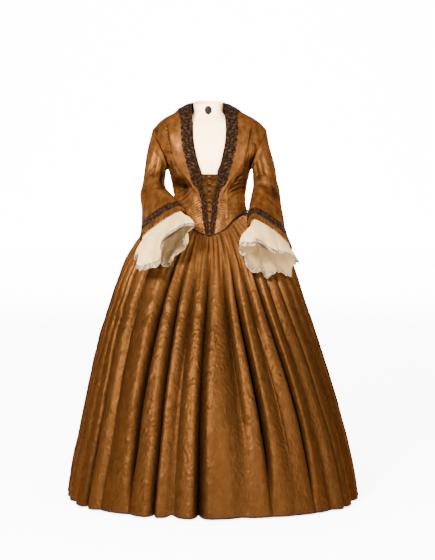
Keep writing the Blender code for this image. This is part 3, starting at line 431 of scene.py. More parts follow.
def rise(value, start, width):
    """0 up to a start, then softly up to 1 over a width."""
    return ease((value - start) / width)


def bell(value, width, power=2):
    """1 at nought, falling away over a width."""
    return np.exp(-(value / width) ** power)


def signed_power(value, power):
    """A power that keeps the value's sign."""
    return np.sign(value) * np.abs(value) ** power


def unit(vectors):
    """Vectors of length one."""
    return vectors / np.maximum(np.linalg.norm(vectors, axis=-1, keepdims=True), 1e-12)


def torso_level(angle, height):
    """Places on the body form's level sections, seen from above."""
    power = 2 / TORSO.read("squareness", height)
    turn = np.radians(angle)
    depth = np.where(np.cos(turn) > 0, TORSO.read("front", height), TORSO.read("back", height))
    across = TORSO.read("half_width", height) * signed_power(np.sin(turn), power)
    forward = depth * signed_power(np.cos(turn), power)
    return np.stack([across + TORSO.read("lean", height), -forward], axis=-1)


def torso_point(angle, height, out=0.0):
    """Points of the body form, moved out level with the floor."""
    angle, height = np.broadcast_arrays(np.asarray(angle, float), np.asarray(height, float))
    near = 0.6
    along = torso_level(angle + near, height) - torso_level(angle - near, height)
    outward = unit(np.stack([along[..., 1], -along[..., 0]], axis=-1))
    place = torso_level(angle, height) + outward * np.asarray(out)[..., None]
    return np.concatenate([place, height[..., None] - HOLD_HEIGHT], axis=-1)


def angle_at(height, across):
    """The angle on the front where the body form is this far from the centre."""
    share = np.minimum(across / TORSO.read("half_width", height), 1.0)
    return np.degrees(np.arcsin(share ** (TORSO.read("squareness", height) / 2)))


def waist_height(angle):
    """The height of the waist seam at an angle."""
    return WAIST.read("height", np.abs((np.asarray(angle) + 180) % 360 - 180))


def armhole_reach(height, depth):
    """How many degrees the armhole cuts into the front or the back at a height."""
    share = np.clip((height - ARMHOLE_MIDDLE) / ARMHOLE_HALF, -1, 1)
    return depth * np.sqrt(1 - share * share)


def lattice(first, second, seed):
    """A fixed number from 0 to 1 for each whole place of a grid."""
    value = np.sin(first * 127.1 + second * 311.7 + seed * 74.7) * 43758.5453
    return value - np.floor(value)


def noise(across, along, seed):
    """Soft noise from -1 to 1, one bump for each unit."""
    left, low = np.floor(across), np.floor(along)
    right_part, high_part = ease(across - left), ease(along - low)
    bottom = mix(lattice(left, low, seed), lattice(left + 1, low, seed), right_part)
    top = mix(lattice(left, low + 1, seed), lattice(left + 1, low + 1, seed), right_part)
    return 2 * mix(bottom, top, high_part) - 1


def crumple(across, along, size, seed):
    """Fine creases: thin ridges between soft hollows, from 0 to 1."""
    bend = noise(across / size / 3, along / size / 3, seed + 5)
    rough = noise(across / size + bend, along / size + bend * 0.7, seed)
    fine = noise(across / size * 2.1 - bend, along / size * 1.9, seed + 9)
    return (1 - np.abs(rough)) ** 3 * 0.7 + (1 - np.abs(fine)) ** 3 * 0.3


def furrow(place, pitch):
    """Narrow troughs between broad ridges, from 0 on a ridge to 1 in a trough."""
    return (1 - np.abs(np.sin(np.pi * place / pitch))) ** 2


def crease_heights(sheet, creases):
    """How far creases lift the points of a sheet: rows of two ends, the bend, the width and the depth."""
    total = np.zeros(sheet.shape[:-1])
    for first_a, first_b, last_a, last_b, bend, width, depth in creases:
        offset = sheet - np.array([first_a, first_b])
        along = np.array([last_a - first_a, last_b - first_b])
        length = np.linalg.norm(along)
        along = along / length
        share = offset @ along / length
        away = offset @ np.array([-along[1], along[0]]) - bend * 4 * share * (1 - share)
        taper = np.sin(np.pi * np.clip(share * 0.84 + 0.08, 0, 1)) ** 0.8
        total += depth * np.where((share > -0.1) & (share < 1.1), taper, 0.0) * bell(away, width)
    return total


# Meshes, and the solids they stand for

def add_object(name, points, faces, *finishes):
    """A new smooth object from points, faces and materials."""
    mesh = bpy.data.meshes.new(name)
    mesh.from_pydata(points, [], faces)
    mesh.shade_smooth()
    for finish in finishes:
        mesh.materials.append(finish)
    item = bpy.data.objects.new(name, mesh)
    bpy.context.scene.collection.objects.link(item)
    return item


def grid_faces(rows, columns, closed, ring=False):
    """The faces between a grid's points; closed joins its columns round, and ring its rows."""
    down, right = np.arange(rows - (not ring)), np.arange(columns - (not closed))
    row, column = np.meshgrid(down, right, indexing="ij")
    after, below = (column + 1) % columns, (row + 1) % rows
    return np.stack([row * columns + column, row * columns + after,
                     below * columns + after, below * columns + column], axis=-1).reshape(-1, 4)


def faces_in(grid, closed):
    """Whether the faces of a grid look in, to the middle of a tube or to the body's centre line."""
    across = np.roll(grid, -1, axis=1) - np.roll(grid, 1, axis=1) if closed else np.gradient(grid, axis=1)
    normals = unit(np.cross(across, np.gradient(grid, axis=0)))
    outward = grid - grid.mean(axis=1, keepdims=True) if closed else grid * LEVEL
    return np.sum(normals * outward) < 0


def add_cloth(name, grid, closed, finishes, shade=1.0, wall=0.0):
    """A cloth on a grid of points; with a wall, it has an inner side in its last material."""
    quads = grid_faces(*grid.shape[:2], closed)
    if faces_in(grid, closed):
        quads = quads[:, ::-1]
    item = add_object(name, grid.reshape(-1, 3).tolist(), quads.tolist(), *finishes)
    mesh = item.data
    step_u = np.linalg.norm(np.diff(grid, axis=1), axis=-1).mean(axis=0)
    step_v = np.linalg.norm(np.diff(grid, axis=0), axis=-1).mean(axis=1)
    u = np.concatenate([[0], np.cumsum(step_u)])
    v = np.concatenate([[0], np.cumsum(step_v)])
    uv = np.stack(np.broadcast_arrays(u[None, :], v[:, None]), axis=-1)
    loops = np.empty(len(mesh.loops), np.int64)
    mesh.loops.foreach_get("vertex_index", loops)
    layer = mesh.uv_layers.new(name="cloth")
    layer.data.foreach_set("uv", uv.reshape(-1, 2)[loops].astype(np.float32).ravel())
    # The 'shade' attribute holds painted shade and painted light, multiplied into the base colour.
    painted_shade_layer = mesh.attributes.new("shade", "FLOAT", "POINT")
    painted_shade_layer.data.foreach_set("value", np.array(np.broadcast_to(shade, grid.shape[:2]), np.float32).ravel())
    if wall > 0:
        solid = item.modifiers.new("wall", "SOLIDIFY")
        solid.thickness = wall
        solid.offset = -1.0
        solid.use_even_offset = False
        solid.material_offset = len(finishes) - 1
    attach(item, "root")
    return item


def declare(grid, closed, node):
    """Hides the solid that a cloth stands for; works out its width, length and area before it was sewn,
    which nothing uses.
    """
    across = np.concatenate([grid, grid[:, :1]], axis=1) if closed else grid
    right, up = np.diff(across, axis=1), np.diff(across, axis=0)
    width = float(np.linalg.norm(right, axis=-1).sum(axis=1).max())
    length = float(np.percentile(np.linalg.norm(up, axis=-1).sum(axis=0), 98))
    area = float(np.linalg.norm(np.cross(right[:-1], up[:, :-1]), axis=-1).sum())
    area = max(min(area, width * length), LEAST_AREA_SHARE * width * length)
    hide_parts(node)


def add_piece(node, kind, grid, closed, finish, shade=1.0, wall=0.0):
    """A piece of cloth that stands for a solid and is named after it."""
    item = add_cloth(node + "_" + kind, grid, closed, [finish], shade, wall)
    declare(grid, closed, node)


# Finishes

class Finish:
    """A material in the making: its nodes, its links and its main shader."""

    def __init__(self, name, colour, roughness, specular):
        self.material = bpy.data.materials.new(name)
        self.material.use_nodes = True
        self.nodes = self.material.node_tree.nodes
        self.links = self.material.node_tree.links
        self.shader = self.nodes["Principled BSDF"]
        self.set("Base Color", (*colour, 1))
        self.set("Roughness", roughness)
        self.set("Specular IOR Level", specular)

    def set(self, socket, value):
        """Puts a constant in the shader's own socket."""
        self.shader.inputs[socket].default_value = value

    def feed(self, socket, source):
        """Links a value into the shader."""
        self.links.new(source, self.shader.inputs[socket])

    def add(self, kind, sources, **values):
        """A node with constants in some sockets and links into others."""
        node = self.nodes.new("ShaderNode" + kind)
        for socket, value in values.items():
            node.inputs[socket].default_value = value
        for socket, source in sources.items():
            self.links.new(source, node.inputs[socket])
        return node

    def coordinates(self):
        """The places in space and along the cloth."""
        return self.add("TexCoord", {}).outputs["Object"], self.add("UVMap", {}).outputs["UV"]

    def noise(self, place, scale, detail, stretch=(1, 1, 1), kind="FBM"):
        """Noise, finer in the directions that are stretched more."""
        mapping = self.add("Mapping", {"Vector": place}, Scale=stretch)
        node = self.add("TexNoise", {"Vector": mapping.outputs["Vector"]}, Scale=scale, Detail=detail)
        node.noise_type = kind
        return node.outputs["Fac"]

    def threads(self, cloth, scale, distortion, direction):
        """Fine side by side threads."""
        node = self.add("TexWave", {"Vector": cloth}, Scale=scale, Distortion=distortion)
        node.bands_direction = direction
        return node.outputs["Fac"]

    def ramp(self, source, *stops):
        """A colour ramp on a value."""
        node = self.add("ValToRGB", {"Fac": source})
        made = node.color_ramp.elements
        for number, (place, colour) in enumerate(stops):
            stop = made[number] if number < 2 else made.new(place)
            stop.position = place
            stop.color = (*colour, 1)
        return node.outputs["Color"]

    def bump(self, *heights):
        """Bumps from several values, each with its own height in metres and strength."""
        previous = None
        for value, distance, strength in heights:
            node = self.add("Bump", {"Height": value}, Distance=distance, Strength=strength)
            if previous:
                self.links.new(previous, node.inputs["Normal"])
            previous = node.outputs["Normal"]
        self.feed("Normal", previous)

    def shaded(self, colour):
        """The colour times the 'shade' attribute: painted shade deep in folds and creases, painted light
        where it passes 1.
        """
        shade = self.add("Attribute", {})
        shade.attribute_name = "shade"
        darken = self.nodes.new("ShaderNodeMix")
        darken.data_type = "RGBA"
        darken.blend_type = "MULTIPLY"
        darken.inputs["Factor"].default_value = 1.0
        self.links.new(colour, darken.inputs["A"])
        self.links.new(shade.outputs["Fac"], darken.inputs["B"])
        return darken.outputs["Result"]


def silk_material(name, dark, middle, light, roughness, creases, scale, height):
    """Copper brown silk: fine ribs, small crumpled marks and a soft gloss."""
    finish = Finish(name, middle, roughness, 0.0)
    finish.set("Specular Tint", (0.35, 0.16, 0.06, 1))
    place, cloth = finish.coordinates()
    patches = finish.noise(place, 55, 8, (1, 1, 0.55))
    colour = finish.ramp(patches, (0.30, dark), (0.50, middle), (0.72, light))
    # The base colour carries the painted shade and painted light of the 'shade' attribute.
    finish.feed("Base Color", finish.shaded(colour))
    folds = finish.noise(place, scale, 4, (1, 1, 0.7), "RIDGED_MULTIFRACTAL")
    small = finish.noise(place, 130, 5, (1, 1, 0.6))
    ribs = finish.threads(cloth, 900, 1.2, "Y")
    finish.bump((folds, height, creases), (small, 0.0010, creases), (ribs, 0.00008, 0.35))
    edge = finish.add("LayerWeight", {}, Blend=0.5).outputs["Facing"]
    finish.feed("Metallic", finish.ramp(edge, (0.45, (0.6, 0.6, 0.6)), (0.95, (0.4, 0.4, 0.4))))
    return finish.material


def lace_material(name, ground, thread, scale):
    """Lace with no holes: a darker net ground with lighter sprigs and scrolls."""
    finish = Finish(name, ground, 0.8, 0.02)
    _place, cloth = finish.coordinates()
    motif = finish.add("Math", {0: finish.noise(cloth, scale, 2), 1: finish.noise(cloth, scale * 1.7, 4)})
    motif.operation = "MULTIPLY"
    motif = motif.outputs["Value"]
    finish.feed("Base Color", finish.ramp(motif, (0.24, ground), (0.36, thread), (0.50, thread)))
    net = finish.add("TexVoronoi", {"Vector": cloth}, Scale=scale * 5).outputs["Distance"]
    finish.bump((motif, 0.0016, 0.8), (net, 0.0004, 0.5))
    return finish.material


def cotton_material(name, colour, shade, roughness):
    """Fine cotton: a plain weave with faint soft creases."""
    finish = Finish(name, colour, roughness, 0.02)
    place, cloth = finish.coordinates()
    finish.feed("Base Color", finish.ramp(finish.noise(place, 26, 4), (0.34, shade), (0.66, colour)))
    small = finish.noise(place, 140, 5, (1, 1, 0.5))
    weave = finish.threads(cloth, 700, 0.6, "X")
    finish.bump((small, 0.0010, 0.35), (weave, 0.00006, 0.3))
    return finish.material


SATIN = silk_material("satin", (0.034, 0.0115, 0.0028), (0.056, 0.0205, 0.0052), (0.08, 0.031, 0.0085),
                      roughness=0.42, creases=0.4, scale=44, height=0.0018)
SILK = silk_material("skirt_silk", (0.025, 0.0091, 0.0022), (0.029, 0.0108, 0.0027), (0.034, 0.013, 0.0034),
                     roughness=0.44, creases=0.72, scale=66, height=0.0034)
DARK_LACE = lace_material("dark_lace", (0.0032, 0.0012, 0.0004), (0.024, 0.011, 0.0045), 110)
CREAM_LACE = lace_material("cream_lace", (0.085, 0.056, 0.036), (0.30, 0.20, 0.105), 120)
CREAM = cotton_material("cream_cotton", (0.40, 0.262, 0.112), (0.30, 0.190, 0.076), 0.85)
# A darker copy of the cream cotton for the undersleeves' inner side: painted shade inside the bell.
CREAM_INSIDE_PAINTED_SHADE = cotton_material("cream_inside_painted_shade", (0.19, 0.118, 0.050), (0.14, 0.085, 0.036), 0.9)
FINE_CREAM = cotton_material("fine_cream", (1.0, 0.66, 0.37), (0.97, 0.61, 0.33), 0.8)
BRAID = cotton_material("hem_braid", (0.012, 0.006, 0.005), (0.008, 0.004, 0.004), 0.85)
PIPING = cotton_material("dark_piping", (0.012, 0.005, 0.003), (0.008, 0.003, 0.002), 0.55)
BUTTON = cotton_material("covered_button", (0.010, 0.004, 0.003), (0.006, 0.003, 0.002), 0.5)
DARK_METAL = Finish("brooch_metal", (0.006, 0.004, 0.003), 0.35, 0.05).material


# Bodice

def bodice_piece(first_line, last_line, top, columns, count):
    """Angles and heights of a piece of the bodice between two seams, from the waist seam to its top."""
    below = np.linspace(-1, 0, count // 2)
    above = np.linspace(LEVEL_HEIGHT, top, count - count // 2 + 1)[1:]
    share = np.linspace(0, 1, columns)[None, :]

    def down_to_waist(line):
        height = np.full(below.shape, LEVEL_HEIGHT)
        for _ in range(6):
            angle = line(height)
            height = mix(LEVEL_HEIGHT, waist_height(angle), -below)
        return angle[:, None]

    low_angle = mix(down_to_waist(first_line), down_to_waist(last_line), share)
    low_rows = mix(LEVEL_HEIGHT, waist_height(low_angle), -below[:, None])
    high_angle = mix(first_line(above)[:, None], last_line(above)[:, None], share)
    high_rows = np.broadcast_to(above[:, None], high_angle.shape)
    return np.concatenate([low_angle, high_angle]), np.concatenate([low_rows, high_rows])


def seam_line(height):
    """The seam beside the centre front."""
    return angle_at(height, FRONT.read("seam", height))


def strip_inner_line(height):
    """The inner edge of the smooth strip, hidden under the lace above the centre front."""
    under_lace = UNDER_LACE * rise(height, CENTRE_TOP_HEIGHT, 0.02)
    return angle_at(height, FRONT.read("seam", height) + under_lace)


def strip_line(height):
    """The outer edge of the smooth strip beside the lace, up to the ridge of the shoulder."""
    angle = angle_at(height, FRONT.read("strip", height))
    return mix(angle, RIDGE_ANGLE, rise(height, SHOULDER_STRIP_HEIGHT - 0.02, 0.02))


def front_edge(height):
    """The armhole's front edge, or the side seam."""
    return SIDE_ANGLE - SEAM_GAP - armhole_reach(height, ARMHOLE_FRONT)


def back_edge(height):
    """The armhole's back edge, or the side seam."""
    return SIDE_ANGLE + SEAM_GAP + armhole_reach(height, ARMHOLE_BACK)


def back_first_line(height):
    """The back's first edge: the side back seam, then the armhole."""
    return np.where(height < ARMHOLE_MIDDLE, SIDE_BACK.read("angle", height) + SEAM_GAP, back_edge(height))


def shirring(sheet, from_edge, wander):
    """The wearer's right front: small slanting tucks beside the strip, and a row of stitches."""
    across, height = sheet[..., 0], sheet[..., 1]
    lines = height + SHIRR_SLOPE.read("slope", height) * from_edge + 0.0007 * wander
    fade = bell(np.clip(from_edge, 0, 1), SHIRR_REACH) * (1 - rise(height, SHIRR_TOP, 0.012))
    uneven = 0.7 + 0.5 * noise(lines / 0.013, from_edge / 0.05, 37)
    first, last = np.array(STITCH_LINE)
    length = np.linalg.norm(last - first)
    run = (last - first) / length
    along = (sheet - first) @ run
    off = (sheet - first) @ np.array([-run[1], run[0]])
    dots = np.cos(2 * np.pi * along / STITCH_PITCH) * bell(off, STITCH_REACH)
    stitches = np.where((along > -0.004) & (along < length + 0.004), dots, 0)
    return STITCH_RISE * stitches - SHIRR_DEPTH * furrow(lines, SHIRR_PITCH) * fade * uneven


def gather_column(sheet, wander):
    """The wearer's left front: a column of small level gathers between the strip and a seam."""
    across, height = sheet[..., 0], sheet[..., 1]
    below = 1 - rise(height, GATHER_TOP, 0.01)
    column = bell(across - sum(GATHER_COLUMN) / 2, 0.010, 4) * below
    seam = bell(across - GATHER_COLUMN[1], 0.0016) * below
    return -0.0005 * seam - 0.0024 * furrow(height + 0.25 * across + 0.0008 * wander, GATHER_PITCH) * column


def front_relief(side, across, height):
    """How far a front's gathers, tucks and wrinkles stand out."""
    sheet = np.stack([across, height], axis=-1)
    wander = noise(across / 0.025, height / 0.012, 4)
    creases = crease_heights(sheet, FRONT_CREASES[side]) * CREASE_STRENGTH
    if side == "left":
        return creases + gather_column(sheet, wander)
    return creases + shirring(sheet, across - FRONT.read("strip", height), wander)


def turned_in(grid):
    """The grid with a narrow allowance all round it, turned in under the piece beside it."""
    inward = unit(grid * LEVEL) * ALLOWANCE_DEPTH
    top = grid[:1] + unit(grid[:1] - grid[1:2]) * ALLOWANCE - inward[:1]
    foot = grid[-1:] + unit(grid[-1:] - grid[-2:-1]) * ALLOWANCE - inward[-1:]
    grid = np.concatenate([top, grid, foot])
    inward = unit(grid * LEVEL) * ALLOWANCE_DEPTH
    first = grid[:, :1] + unit(grid[:, :1] - grid[:, 1:2]) * ALLOWANCE - inward[:, :1]
    last = grid[:, -1:] + unit(grid[:, -1:] - grid[:, -2:-1]) * ALLOWANCE - inward[:, -1:]
    return np.concatenate([first, grid, last], axis=1)


def add_bodice_piece(node, angle, height, lift, dark=1.0):
    """A piece of the bodice, lifted off the body form and turned in at its seams."""
    grid = turned_in(torso_point(angle, height, lift))
    # dark: painted shade and painted light for the 'shade' attribute.
    dark = np.pad(np.broadcast_to(dark, angle.shape), 1, mode="edge")
    add_piece(node, "silk", grid, False, SATIN, dark)


def build_centre_front():
    """The small panel under the buttons, pulled in at each of them."""
    angle, height = bodice_piece(lambda h: -seam_line(h) + SEAM_GAP, lambda h: seam_line(h) - SEAM_GAP,
                                 CENTRE_TOP_HEIGHT, 50, 110)
    across, _forward, level = np.moveaxis(torso_point(angle, height), -1, 0)
    nearest = np.min(np.abs(height[..., None] - np.array(BUTTON_HEIGHTS)), axis=-1)
    pull = 0.0012 * bell(nearest, 0.004) * np.abs(across) / 0.01
    knots = crumple(across, level, 0.007, 3)
    middle = bell(across, 0.0035) * bell(nearest - 0.007, 0.0022)
    # Painted shade in the crumpled puckers (knots); the panel darker overall, with lighter marks between the
    # buttons.
    dark = np.clip(0.42 - 0.2 * knots + 0.8 * middle, 0.15, 1.2)
    add_bodice_piece("bodice_centre_front", angle, height, pull - 0.0012 * knots, dark=dark)


def build_strip(side, sign):
    """The smooth strip beside the lace, with a fold that stands up at its outer edge."""
    angle, height = bodice_piece(lambda h: strip_inner_line(h) + SEAM_GAP,
                                 lambda h: strip_line(h) - SEAM_GAP, NECK_HEIGHT, 40, 200)
    from_fold = 1 - np.linspace(0, 1, angle.shape[1])[None, :]
    across, _forward, level = np.moveaxis(torso_point(sign * angle, height), -1, 0)
    lace = FRONT.read("lace_outer", height)
    beyond = rise(np.abs(across), lace, np.maximum(FRONT.read("strip", height) - lace, 0.004))
    raised = rise(height, BUST_FOOT, 0.03) * (1 - rise(height, 1.22, 0.04))
    fold = STRIP_FOLD * raised * beyond * (1 - bell(from_fold, 0.02, 1))
    lift = fold + 0.0006 * noise(across / 0.02, level / 0.05, 11 + sign)
    # Painted shadow along the strip's edge, under the fold that stands up there.
    dark = 1 - 0.85 * bell(from_fold, 0.035, 1) * raised
    add_bodice_piece("bodice_strip_" + side, sign * angle, height, lift, dark=dark)


def build_front(side, sign):
    """A gathered front, tucked under the strip beside it."""
    angle, height = bodice_piece(lambda h: strip_line(h) + SEAM_GAP, front_edge,
                                 SHOULDER_STRIP_HEIGHT, 150, 270)
    from_strip = np.linspace(0, 1, angle.shape[1])[None, :]
    across, _forward, level = np.moveaxis(torso_point(sign * angle, height), -1, 0)
    relief = front_relief(side, np.abs(across), height)
    fine = crumple(across, level, 0.019, 21 + sign)
    # Where the front tucks under the strip: sunk in, and given painted shadow below.
    under = bell(from_strip, 0.03, 1) * rise(height, BUST_FOOT, 0.02)
    lift = (relief - 0.0016 * fine) * np.clip((height - waist_height(angle)) / 0.010, 0, 1)
    lift = lift + 0.0014 * noise(across / 0.03, level / 0.04, 31 + sign) - 0.0022 * under
    # Painted shade in the creases and crumple marks.
    hollow = np.clip(-relief / 0.0066, 0, 1) + 0.3 * fine
    # Painted light on the gathers below the bust.
    painted_waist_light = 1 + 0.5 * (1 - rise(height, BUST_FOOT, 0.03))
    # dark: the painted shade and painted light together.
    dark = np.clip((1 - 0.75 * hollow - 0.9 * under) * painted_waist_light, 0.08, 2)
    add_bodice_piece("bodice_front_" + side, sign * angle, height, lift, dark)


def build_bodice():
    """The bodice's eight pieces, with their gathers, tucks and wrinkles."""
    build_centre_front()
    for side, sign in SIDES.items():
        build_strip(side, sign)
        build_front(side, sign)
        angle, height = bodice_piece(back_edge, lambda h: SIDE_BACK.read("angle", h) - SEAM_GAP,
                                     ARMHOLE_MIDDLE - 0.002, 44, 110)
        _across, forward, level = np.moveaxis(torso_point(sign * angle, height), -1, 0)
        soft = noise(forward / 0.03, level / 0.05, 41 + sign) + crumple(forward, level, 0.03, 45 + sign)
        add_bodice_piece("bodice_side_back_" + side, sign * angle, height, 0.0008 * soft)
    angle, height = bodice_piece(back_first_line, lambda h: 360 - back_first_line(h), NECK_HEIGHT, 130, 170)
    across, _forward, level = np.moveaxis(torso_point(angle, height), -1, 0)
    lift = 0.0009 * noise(across / 0.04, level / 0.05, 51) + 0.0010 * crumple(across, level, 0.035, 52)
    add_bodice_piece("bodice_back", angle, height, lift)


# Skirt

def unwrapped(reference, angle):
    """The same angle, within half a turn of the reference."""
    return reference + (angle - reference + 180) % 360 - 180


def fold_column(index, name):
    """Values of the fold table, which runs round the skirt."""
    return SKIRT_FOLDS[index % len(SKIRT_FOLDS), FOLD_NAMES.index(name)]


def fold_depth(index, drop):
    """Depths of the valleys at shares of the skirt's length."""
    made = np.zeros((len(drop), len(index)))
    for column, fold in enumerate(index):
        depths = [0.0] + [fold_column(np.array(fold), name) for name in ("upper", "middle", "lower")]
        depths[2:] = [depth * min(max(depth / DEEP_FOLD, 0.2), 1.0) for depth in depths[2:]]
        made[:, column] = Table("drop depth", np.stack([DEPTH_DROPS, depths], axis=1)).read("depth", drop)
    return made


def fold_angle(index, drop):
    """Angles of the valleys at shares of the skirt's length."""
    waist, hem = fold_column(index, "waist"), fold_column(index, "hem")
    return waist[None, :] + (unwrapped(waist, hem) - waist)[None, :] * ease(drop / 0.8)[:, None]


def skirt_base(angle, drop):
    """The skirt's form without its folds, and the way that it faces."""
    turn = np.radians(angle)
    end = np.where(np.cos(turn) > 0, SPREAD.read("front", drop), SPREAD.read("back", drop))
    reach = np.where(np.sin(turn) > 0, CORNER_FRONT_LEFT, CORNER_FRONT_RIGHT)
    corner = np.where(np.cos(turn) > 0, reach, CORNER_BACK) * drop * np.sin(2 * turn) ** 2
    spread = mix(SPREAD.read("side", drop), end, np.cos(turn) ** 2) + corner
    top = waist_height(angle)
    outward = np.stack([np.sin(turn), -np.cos(turn), np.zeros_like(turn)], axis=-1)
    place = torso_point(angle, top) + outward * spread[..., None]
    place[..., 0] += SPREAD.read("lean", drop)
    place[..., 2] = mix(top - SKIRT_TOP_GAP, SKIRT_BOTTOM, drop) - HOLD_HEIGHT
    return place, outward


def skirt_gathers(angle, down):
    """The small gathers below the waist seam, coarse ones and fine ones between them."""
    fade = ease(down / 0.015 + 0.35)
    strength = 0.65 + 0.5 * noise(angle / 2.3, down * 5, 6)
    coarse = np.sin(np.radians(angle) * COARSE_GATHERS + 1.5 * noise(angle / 3.1, down * 4, 7))
    fine = np.sin(np.radians(angle) * FINE_GATHERS + 2.0 * noise(angle / 2.1, down * 9, 8))
    gathers = GATHER_DEPTH * coarse * strength * (1 - rise(down, 0.04, 0.26)) * fade
    return gathers + 0.0024 * fine * (1 - ease(down / 0.10)) * fade


def skirt_softness(angle, around, down):
    """Soft swells of the silk between the folds, and its crumple."""
    length = down * SKIRT_LENGTH
    bend = noise(angle / 9, length / 0.12, 13)
    soft = 0.0022 * noise(around / 0.10 + bend, length / 0.35, 17) * ease(down / 0.15)
    rough = ease(0.4 + 1.6 * noise(around / 0.10, length / 0.30, 29))
    return soft - (0.0002 + 0.0018 * rough) * crumple(around, length * 0.8, 0.030, 19) * ease(down / 0.1)


def skirt_grid(first, last):
    """The folded skirt's points from one valley to another, and its painted shade and painted light: darker
    in its hollows.
    """
    part = np.arange((last - first) * FOLD_COLUMNS + 1) / FOLD_COLUMNS
    index = np.minimum(part.astype(int), last - first - 1)
    even = part - index
    share = mix(even, (1 - np.cos(np.pi * even)) / 2, 0.55)[None, :]
    index = index + first
    drop = np.linspace(0, 1, SKIRT_ROWS) ** 1.25
    crest = fold_column(index, "crest")[None, :]
    start = fold_angle(index, drop)
    angle = mix(start, unwrapped(start + 10, fold_angle(index + 1, drop)), share)
    depth = mix(fold_depth(index, drop), fold_depth(index + 1, drop), share)
    down = np.broadcast_to(drop[:, None], angle.shape)
    place, outward = skirt_base(angle, down)
    first_side = share < crest
    side = np.clip(np.where(first_side, share / crest, (1 - share) / (1 - crest)), 0, 1)
    ridge = 1 - (1 - side) ** mix(*VALLEY_POWERS, np.clip(depth / 0.05, 0, 1))
    radius = np.linalg.norm(place[..., :2], axis=-1)
    edge_gap = np.minimum(share, 1 - share) * np.radians(10) * radius
    slot = SLOT_SHARE * depth * bell(edge_gap, SLOT_WIDTH)
    gathers = skirt_gathers(angle, down)
    soft = skirt_softness(angle, np.radians(angle) * radius, down)
    radial = depth * ((1 + CREST_RISE) * ridge - 1) - slot + gathers + soft
    lean = RIDGE_LEANS[index % len(RIDGE_LEANS)][None, :]
    over = side / LEAN_PLACE * np.exp(1 - side / LEAN_PLACE)
    shift = np.where(first_side, -np.maximum(lean, 0), np.maximum(-lean, 0)) * over
    shift = shift * LEAN_REACH * np.clip(depth / 0.04, 0, 1) ** 2 * ease(down / 0.2)
    sideways = np.stack([-outward[..., 1], outward[..., 0], np.zeros_like(down)], axis=-1)
    place = place + outward * radial[..., None] + sideways * shift[..., None]
    lift = mix(fold_column(index, "lift"), fold_column(index + 1, "lift"), share[0])[None, :]
    place[..., 2] += lift * (1 - ridge) * ease(down * 2 - 1)
    deep = np.clip((depth - 0.02) / 0.04, 0, 1)
    # Painted shade deep in the valleys.
    hollow = (1 - side) ** mix(5.0, 1.6, deep) * np.clip(depth / 0.020, 0, 1)
    # Painted light on the gathers below the waist.
    lit = 1 + 2.3 * (1 - rise(down, 0.02, 0.32)) + 0.5 * ease(1 - down / 0.06)
    # Painted shade on one side of each fold, the side turned from the key light.
    away = np.where(first_side, 1.0, 0.0) * (1 - side) ** 1.5 * np.clip(depth / 0.05, 0, 1)
    # Painted shade between the gathers.
    between = np.clip(-gathers / GATHER_DEPTH, 0, 1)
    shade = lit * (1 - 0.95 * hollow) * (1 - 0.35 * away) * (1 - 0.75 * between)
    return place, np.clip(shade, 0.04, 3.2)


def build_skirt():
    """Six gathered widths and the binding of their hem."""
    starts = [first for _name, first in SKIRT_PANELS]
    ends = starts[1:] + [starts[0] + len(SKIRT_FOLDS)]
    hems = []
    for (name, first), last in zip(SKIRT_PANELS, ends):
        grid, shade = skirt_grid(first, last)
        add_piece(name, "silk", grid, False, SILK, shade=shade)
        hems.append(grid[-1, :-1])
    edge = np.concatenate(hems)
    outward = unit(edge * LEVEL)
    down = np.array([0, 0, HEM_BOTTOM - SKIRT_BOTTOM])
    grid = np.stack([edge + outward * out + down * share for out, share in HEM_FOLD])
    add_piece("hem_binding", "braid", grid, True, BRAID)


# Sleeves

def turns(count):
    """Even turns once round, in degrees."""
    return np.linspace(0, 360, count, endpoint=False)[None, :]


def sleeve_section(side, along):
    """Sleeve sections: centre, way and length to the outer point, and way to the front."""
    table, sign = SLEEVES[side], SIDES[side]

    def point(which, place):
        return np.stack([sign * table.read(which + "_x", place), table.read(which + "_y", place),
                         table.read(which + "_height", place) - HOLD_HEIGHT], axis=-1)

    def middle(place):
        return (point("outer", place) + point("inner", place)) / 2

    inside = np.minimum(along, 1.0)
    near = 0.03
    path = middle(np.minimum(inside + near, 1.0)) - middle(np.maximum(inside - near, 0.0))
    outward = (point("outer", inside) - point("inner", inside)) / 2
    across = unit(np.cross(path, outward))
    turned = np.where(along < 0.5, across[..., 1] > 0, across[..., 2] < 0)
    across = np.where(turned[..., None], -across, across)
    centre = middle(inside) + unit(path) * (np.maximum(along - 1, 0) * SLEEVE_LENGTH)[..., None]
    return centre, outward, across


def armhole_ring(sign, turn):
    """Points just past the armhole; turn 0 is the shoulder, 90 degrees the front, 180 the underarm."""
    around = np.radians(turn)
    height = ARMHOLE_MIDDLE + (ARMHOLE_HALF + ARMHOLE_TUCK) * np.cos(around)
    depth = np.where(np.sin(around) > 0, ARMHOLE_FRONT, ARMHOLE_BACK)
    more = math.degrees(ARMHOLE_TUCK / float(TORSO.read("half_width", ARMHOLE_MIDDLE)))
    return torso_point(sign * (SIDE_ANGLE - (depth + more) * np.sin(around)), height)


def sleeve_point(side, turn, along, out=0.0):
    """Points of the sleeve, by the turn round the arm from its outer line."""
    turn, along = np.broadcast_arrays(np.asarray(turn, float), np.asarray(along, float))
    around = np.radians(turn)
    centre, outward, across = sleeve_section(side, along)
    inside = np.minimum(along, 1.0)
    table = SLEEVES[side]
    depth = np.where(np.sin(around) > 0, table.read("front", inside), table.read("back", inside))
    reach = np.linalg.norm(outward, axis=-1) + out
    place = (centre + unit(outward) * (reach * np.cos(around))[..., None]
             + across * ((depth + out) * np.sin(around))[..., None])
    edge = armhole_ring(SIDES[side], turn)
    return mix(edge, place, ease(along / ARMHOLE_BLEND)[..., None])


